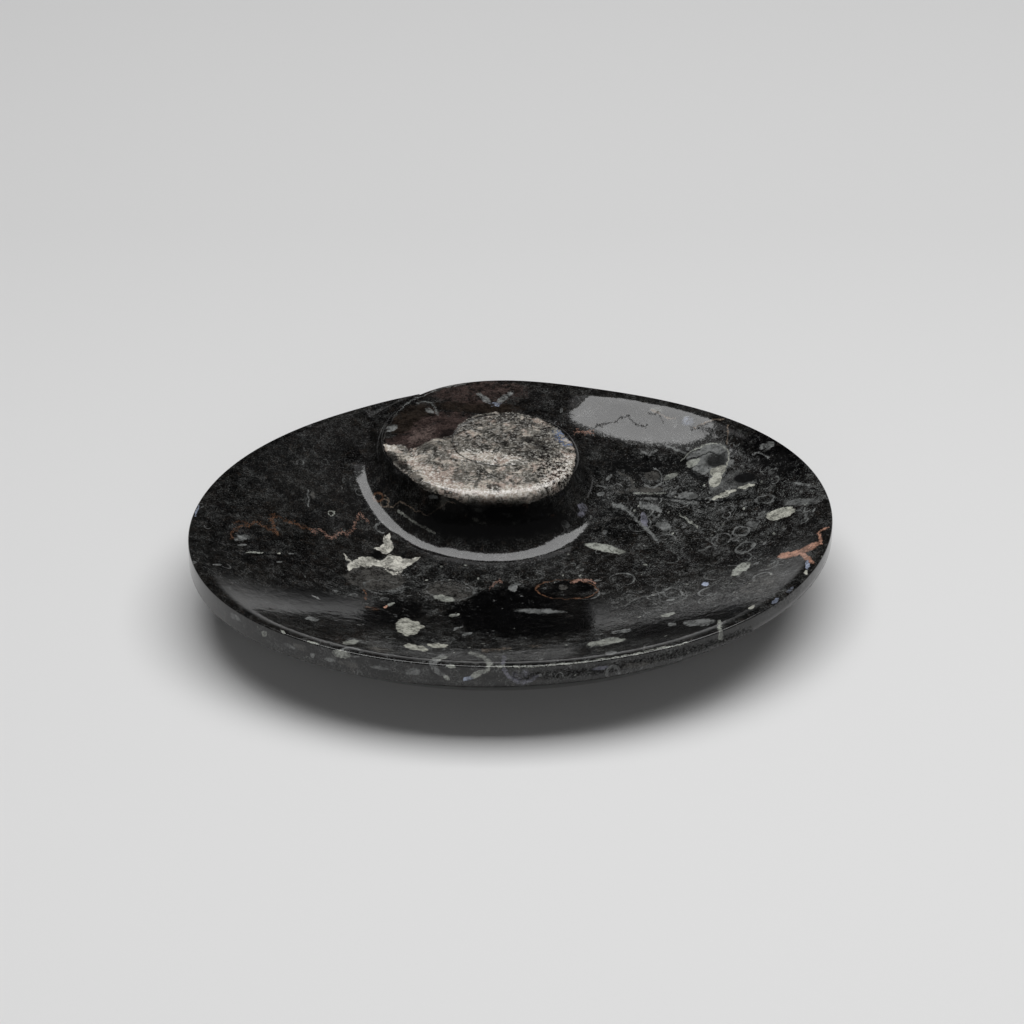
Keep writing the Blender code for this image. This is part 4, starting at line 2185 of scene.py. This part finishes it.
@dataclass(frozen=True)
class CoilSpar:
    """The pale calcite that fills the coil.

    Attributes:
        warm: Pink parts.
        grey: Grey parts.
        dark: Dark parts.
        disc_bias: How far the coil's own disc leans towards grey and dark.
        band_bias: How far the pale bands lean, likewise; one is partly a painted
            highlight.
        crystals: The crystals' noise.
        pits: Its values where dark pits start and are full.
        pit_share: The pits' full strength.
        glints: Its values where white crystals start and are full.
        glint_share: Their full strength outside the pale bands.
        band_glints: How much stronger they are in the bands, where they add to a
            painted highlight.
        specks: Its values where the dark specks at the right start and are full.
        blues: Its values where the blue crystals start and are full.
    """

    warm: Mottle = Mottle(Grain(0.2, 3.0, 0.65), 0.45, 0.58, Tone.CALCITE_PINK)
    grey: Mottle = Mottle(
        Grain(0.17, 4.0, 0.68, 1.0), 0.43, 0.53, Tone.CALCITE_GREY, 0.85
    )
    dark: Mottle = Mottle(
        Grain(0.26, 4.0, 0.74, 0.8), 0.475, 0.61, Tone.CALCITE_DARK, 0.95
    )
    disc_bias: float = 0.06
    band_bias: float = -0.13
    crystals: Grain = Grain(1.1, 3.0, 0.8, 0.5)
    pits: Place = (0.52, 0.66)
    pit_share: float = 0.65
    glints: Place = (0.49, 0.38)
    glint_share: float = 0.45
    band_glints: float = 1.4
    specks: Place = (0.48, 0.56)
    blues: Place = (0.53, 0.58)

    def colour(self, shading: Shading, *drawn: Socket) -> Socket:
        """The colour of each place.

        Args:
            shading: The group being written.
            drawn: The place in the photograph, as Drawn takes it.

        Returns:
            The colour.
        """
        at = Drawn(*drawn)
        colour = self.warm.over(shading, Tone.CALCITE)
        disc = shading.marked("coil", at, [COIL])
        # One of the pale bands is partly a painted highlight along the coil's front
        # shoulder.
        pale = shading.marked("pale_bands_and_highlight", at, PALE_BANDS_AND_HIGHLIGHT)
        bias = shading.math("MULTIPLY", disc, self.disc_bias)
        bias = shading.math("MULTIPLY_ADD", pale, self.band_bias, bias)
        colour = self.grey.over(shading, colour, bias)
        colour = self.dark.over(shading, colour, bias)
        grain = self.crystals.noise(shading)
        pits = shading.fade(grain, *self.pits)
        pits = shading.math("MULTIPLY", pits, self.pit_share)
        colour = shading.paint(colour, pits, Tone.CALCITE_DARK)
        share = shading.math("MULTIPLY_ADD", pale, self.band_glints, self.glint_share)
        glints = shading.math("MULTIPLY", shading.fade(grain, *self.glints), share)
        glints = shading.math("MINIMUM", glints, 1.0)
        colour = shading.paint(colour, glints, Tone.WHITE)
        specks = shading.marked("specks", at, [SPECKS])
        specks = shading.math("MULTIPLY", specks, shading.fade(grain, *self.specks))
        colour = shading.paint(colour, specks, Tone.DARK)
        blues = shading.marked("blue_glints", at, [BLUE_GLINTS])
        blues = shading.math("MULTIPLY", blues, shading.fade(grain, *self.blues))
        return shading.paint(colour, blues, Tone.BLUE_DEEP)


@dataclass(frozen=True)
class Site:
    """What the stone's looks follow from place to place.

    Attributes:
        shading: The material being written.
        place: Place in the stone, in millimetres.
        facing: 1 where the photograph shows the stone, 0 where that is turned away.
        drawn: The place in the photograph.
        crumbs: Fine noise about 0, that breaks up the marks.
        lumps: Coarser noise about 0, that breaks up the stained patches and a painted
            reflection.
    """

    shading: Shading
    place: Socket
    facing: Socket
    drawn: Drawn
    crumbs: Socket
    lumps: Socket

    def shown(self, mask: Socket) -> Socket:
        """A mask where the photograph shows the stone, and nothing elsewhere."""
        return self.shading.math("MULTIPLY", mask, self.facing)


@dataclass(frozen=True)
class PolishedStone:
    """Black limestone full of broken shells, ground and polished.

    Attributes:
        view: The photograph's viewpoint. Marks are placed by its pixels.
        turned_away: How squarely the stone faces the view where marks start to
            show and where they are full.
        wander: Noise by which marks stray from their drawn outlines.
        wobble: How far they stray, in pixels for a full step of the noise.
        jump: Noise by which ragged lines jump.
        crumb: Fine noise that breaks up the marks.
        lump: Coarser noise that breaks up the stained patches and a painted reflection.
        mottles: The dark ground mass, over black.
        shell_hash: Finely broken shells.
        litters: Kinds of broken shell.
        litter_crumbling: How strongly noise breaks these up.
        litter_gain: How much brighter they are where shells lie thickest.
        litter_light: How bright they are where shells are few.
        wear: How bright the stone is from place to place.
        spar: The calcite in the coil.
        spar_crumbling: How strongly noise breaks up the calcite's edge.
        dull_crumbling: How strongly noise breaks up the matt marks.
        gloss: Specular level of the polish.
        gloss_lost: How much of that the matt marks lose.
        waves: Waves that polishing leaves.
        wave_height: Their height, in millimetres.
        roughness: Roughness of the polish.
        uneven: How far the roughness varies.
        least_roughness: Least roughness.
        ior: Refractive index.
    """

    view: Viewpoint = Viewpoint()
    turned_away: Place = (0.08, 0.2)
    wander: Grain = Grain(0.42, 3.0, 0.7)
    wobble: float = 6.0
    jump: Grain = Grain(1.0, 3.0, 0.9)
    crumb: Grain = Grain(1.5, 3.0, 0.75, 0.4)
    lump: Grain = Grain(0.42, 5.0, 0.82, 0.4)
    mottles: tuple[Mottle, ...] = (
        Mottle(Grain(0.05, 4.0, 0.6), 0.38, 0.62, Tone.DARK),
        Mottle(Grain(0.6, 4.0, 0.75, 0.8), 0.5, 0.72, Tone.BROWN_DARK),
        Mottle(Grain(2.2, 2.0, 0.75), 0.54, 0.72, Tone.GRIT, 0.5),
    )
    shell_hash: ShellHash = ShellHash()
    litters: tuple[ShellLitter, ...] = (
        ShellLitter(12.0, (0.4, 0.3, 0.36), 0.15, 0.6, thick=0.08, kept=-0.1),
        ShellLitter(5.4, (0.42, 0.22, 0.3), 0.2, 0.6, thick=0.15, kept=0.0),
        ShellLitter(6.0, (0.36, 0.1, 0.24), 0.1, 0.55),
        ShellLitter(3.0, (0.3, 0.12, 0.22), 0.05, 0.25, tone=Tone.SHELL),
    )
    litter_crumbling: float = 4.0
    litter_gain: float = 0.45
    litter_light: float = 0.55
    wear: Wear = Wear()
    spar: CoilSpar = CoilSpar()
    spar_crumbling: float = 2.5
    dull_crumbling: float = 3.0
    gloss: float = 0.5
    gloss_lost: float = 0.45
    waves: Grain = Grain(0.3, 3.0, 0.5, 0.3)
    wave_height: float = 0.065
    roughness: float = 0.1
    uneven: float = 0.12
    least_roughness: float = 0.04
    ior: float = 1.5

    def strays(self, shading: Shading) -> Sequence[Socket]:
        """Three noises about 0: two to stray by and one for jumps."""
        noise = self.wander.texture(shading).outputs["Color"]
        parts = shading.node("ShaderNodeSeparateColor", {"Color": noise}).outputs
        jumps = self.jump.noise(shading)
        noises = (parts["Red"], parts["Green"], jumps)
        return [shading.math("SUBTRACT", noise, MEAN) for noise in noises]

    def survey(self, shading: Shading) -> Site:
        """Writes what all the looks follow.

        Args:
            shading: The material being written.

        Returns:
            What they follow.
        """
        place = shading.scaled(shading.own("Object"), 1.0 / MM)
        towards = shading.along(shading.own("Normal"), *self.view.back)
        facing = shading.fade(towards, *self.turned_away)
        right, down = self.view.picture_place(shading, place)
        strays = shading.grouped("strays", self.strays)
        right = shading.math("MULTIPLY_ADD", strays[0], self.wobble, right)
        down = shading.math("MULTIPLY_ADD", strays[1], self.wobble, down)
        crumbs = shading.group("crumbs", self.crumb.centred)
        lumps = shading.group("lumps", self.lump.centred)
        drawn = Drawn(right, down, strays[2])
        return Site(shading, place, facing, drawn, crumbs, lumps)

    def ground_mass(self, shading: Shading) -> Socket:
        """The dark ground mass, mottled brown and grey."""
        colour = Tone.BLACK
        for mottle in self.mottles:
            colour = mottle.over(shading, colour)
        return colour

    def littered(self, site: Site) -> Socket:
        """The ground mass with the random broken shells in it.

        Args:
            site: What the looks follow.

        Returns:
            The colour.
        """
        shading = site.shading
        colour = shading.group("dark_stone", self.ground_mass)
        thick = site.shown(shading.marked("shell_beds", site.drawn, CLUSTERS))
        mask = shading.group("shell_hash", self.shell_hash.mask, thick)
        colour = shading.paint(colour, mask, Tone.HASH)
        light = shading.math(
            "MULTIPLY_ADD", thick, self.litter_gain, self.litter_light
        )
        for litter in self.litters:
            more = litter.dense - litter.sparse
            share = shading.math("MULTIPLY_ADD", thick, more, litter.sparse)
            cells = shading.grouped("cells", litter.cells)
            mask = shading.group("litter", litter.mask, site.place, *cells, share)
            mask = shading.math("MULTIPLY", mask, light)
            mask = shading.crumbled(mask, site.crumbs, self.litter_crumbling)
            colour = shading.paint(colour, mask, litter.tone)
        return colour

    def marked(self, site: Site, colour: Socket) -> Socket:
        """Lays the drawn marks over the stone, layer by layer.

        Args:
            site: What the looks follow.
            colour: The stone's colour.

        Returns:
            The colour with the marks in it.
        """
        shading = site.shading
        for layer in LAYERS:
            breaks = site.lumps if layer.lumpy else site.crumbs
            for tone, marks in layer.marks.items():
                label = f"{layer.name}_{tone.name.lower()}"
                mask = shading.marked(label, site.drawn, marks)
                mask = shading.crumbled(mask, breaks, layer.crumbling)
                colour = shading.paint(colour, site.shown(mask), tone)
        return colour

    def with_spar(self, site: Site, colour: Socket) -> Socket:
        """Lays the coil's calcite over the stone, and the dark holes and painted shade
        over both.

        Args:
            site: What the looks follow.
            colour: The stone's colour.

        Returns:
            The colour with the calcite, the holes and the painted shade in it.
        """
        shading, drawn = site.shading, site.drawn
        given = (drawn.right, drawn.down, drawn.jumps)
        spar = shading.group("calcite", self.spar.colour, *given)
        mask = shading.marked("spar", drawn, SPAR)
        mask = shading.crumbled(mask, site.crumbs, self.spar_crumbling)
        colour = shading.paint(colour, site.shown(mask), spar)
        holes_and_shade = site.shown(shading.marked("holes_and_shade", drawn, DARK_HOLES_AND_SHADE))
        return shading.paint(colour, holes_and_shade, Tone.BLACK)

    def material(self) -> bpy.types.Material:
        """Makes the stone's material.

        Returns:
            The material.
        """
        material = bpy.data.materials.new("polished_limestone")
        material.use_nodes = True
        shading = Shading(material.node_tree)
        site = self.survey(shading)
        colour = self.marked(site, self.littered(site))
        worn = shading.group("wear", self.wear.brightness, site.crumbs)
        colour = self.with_spar(site, shading.scaled(colour, worn))

        dull = shading.marked("dull", site.drawn, DULL_MARKS)
        dull = site.shown(shading.crumbled(dull, site.crumbs, self.dull_crumbling))
        gloss = shading.math("MULTIPLY_ADD", dull, -self.gloss_lost, self.gloss)
        waves = shading.group("ripples", self.waves.noise)
        bump = shading.node(
            "ShaderNodeBump", {"Distance": self.wave_height * MM, "Height": waves}
        )
        rough = shading.math("MULTIPLY_ADD", site.crumbs, self.uneven, self.roughness)
        rough = shading.math("MAXIMUM", rough, self.least_roughness)

        shader = material.node_tree.nodes["Principled BSDF"]
        for name, value in (
            ("Specular IOR Level", gloss),
            ("Normal", bump.outputs["Normal"]),
            ("Base Color", colour),
            ("Roughness", rough),
            ("IOR", self.ior),
        ):
            shading.feed(shader.inputs[name], value)
        log.info("%s: %d nodes", material.name, len(shading.tree.nodes))
        return material


def main() -> None:
    """Builds the camera, the studio and the plate, in that order."""
    logging.basicConfig(level=logging.INFO, format="%(name)s: %(message)s")
    Viewpoint().place_camera()
    Studio().build()
    plate = FossilPlate().build()
    plate.data.materials.append(PolishedStone().material())
    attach(plate, "root")
    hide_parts("fossil_plate")


if __name__ == "__main__":
    main()
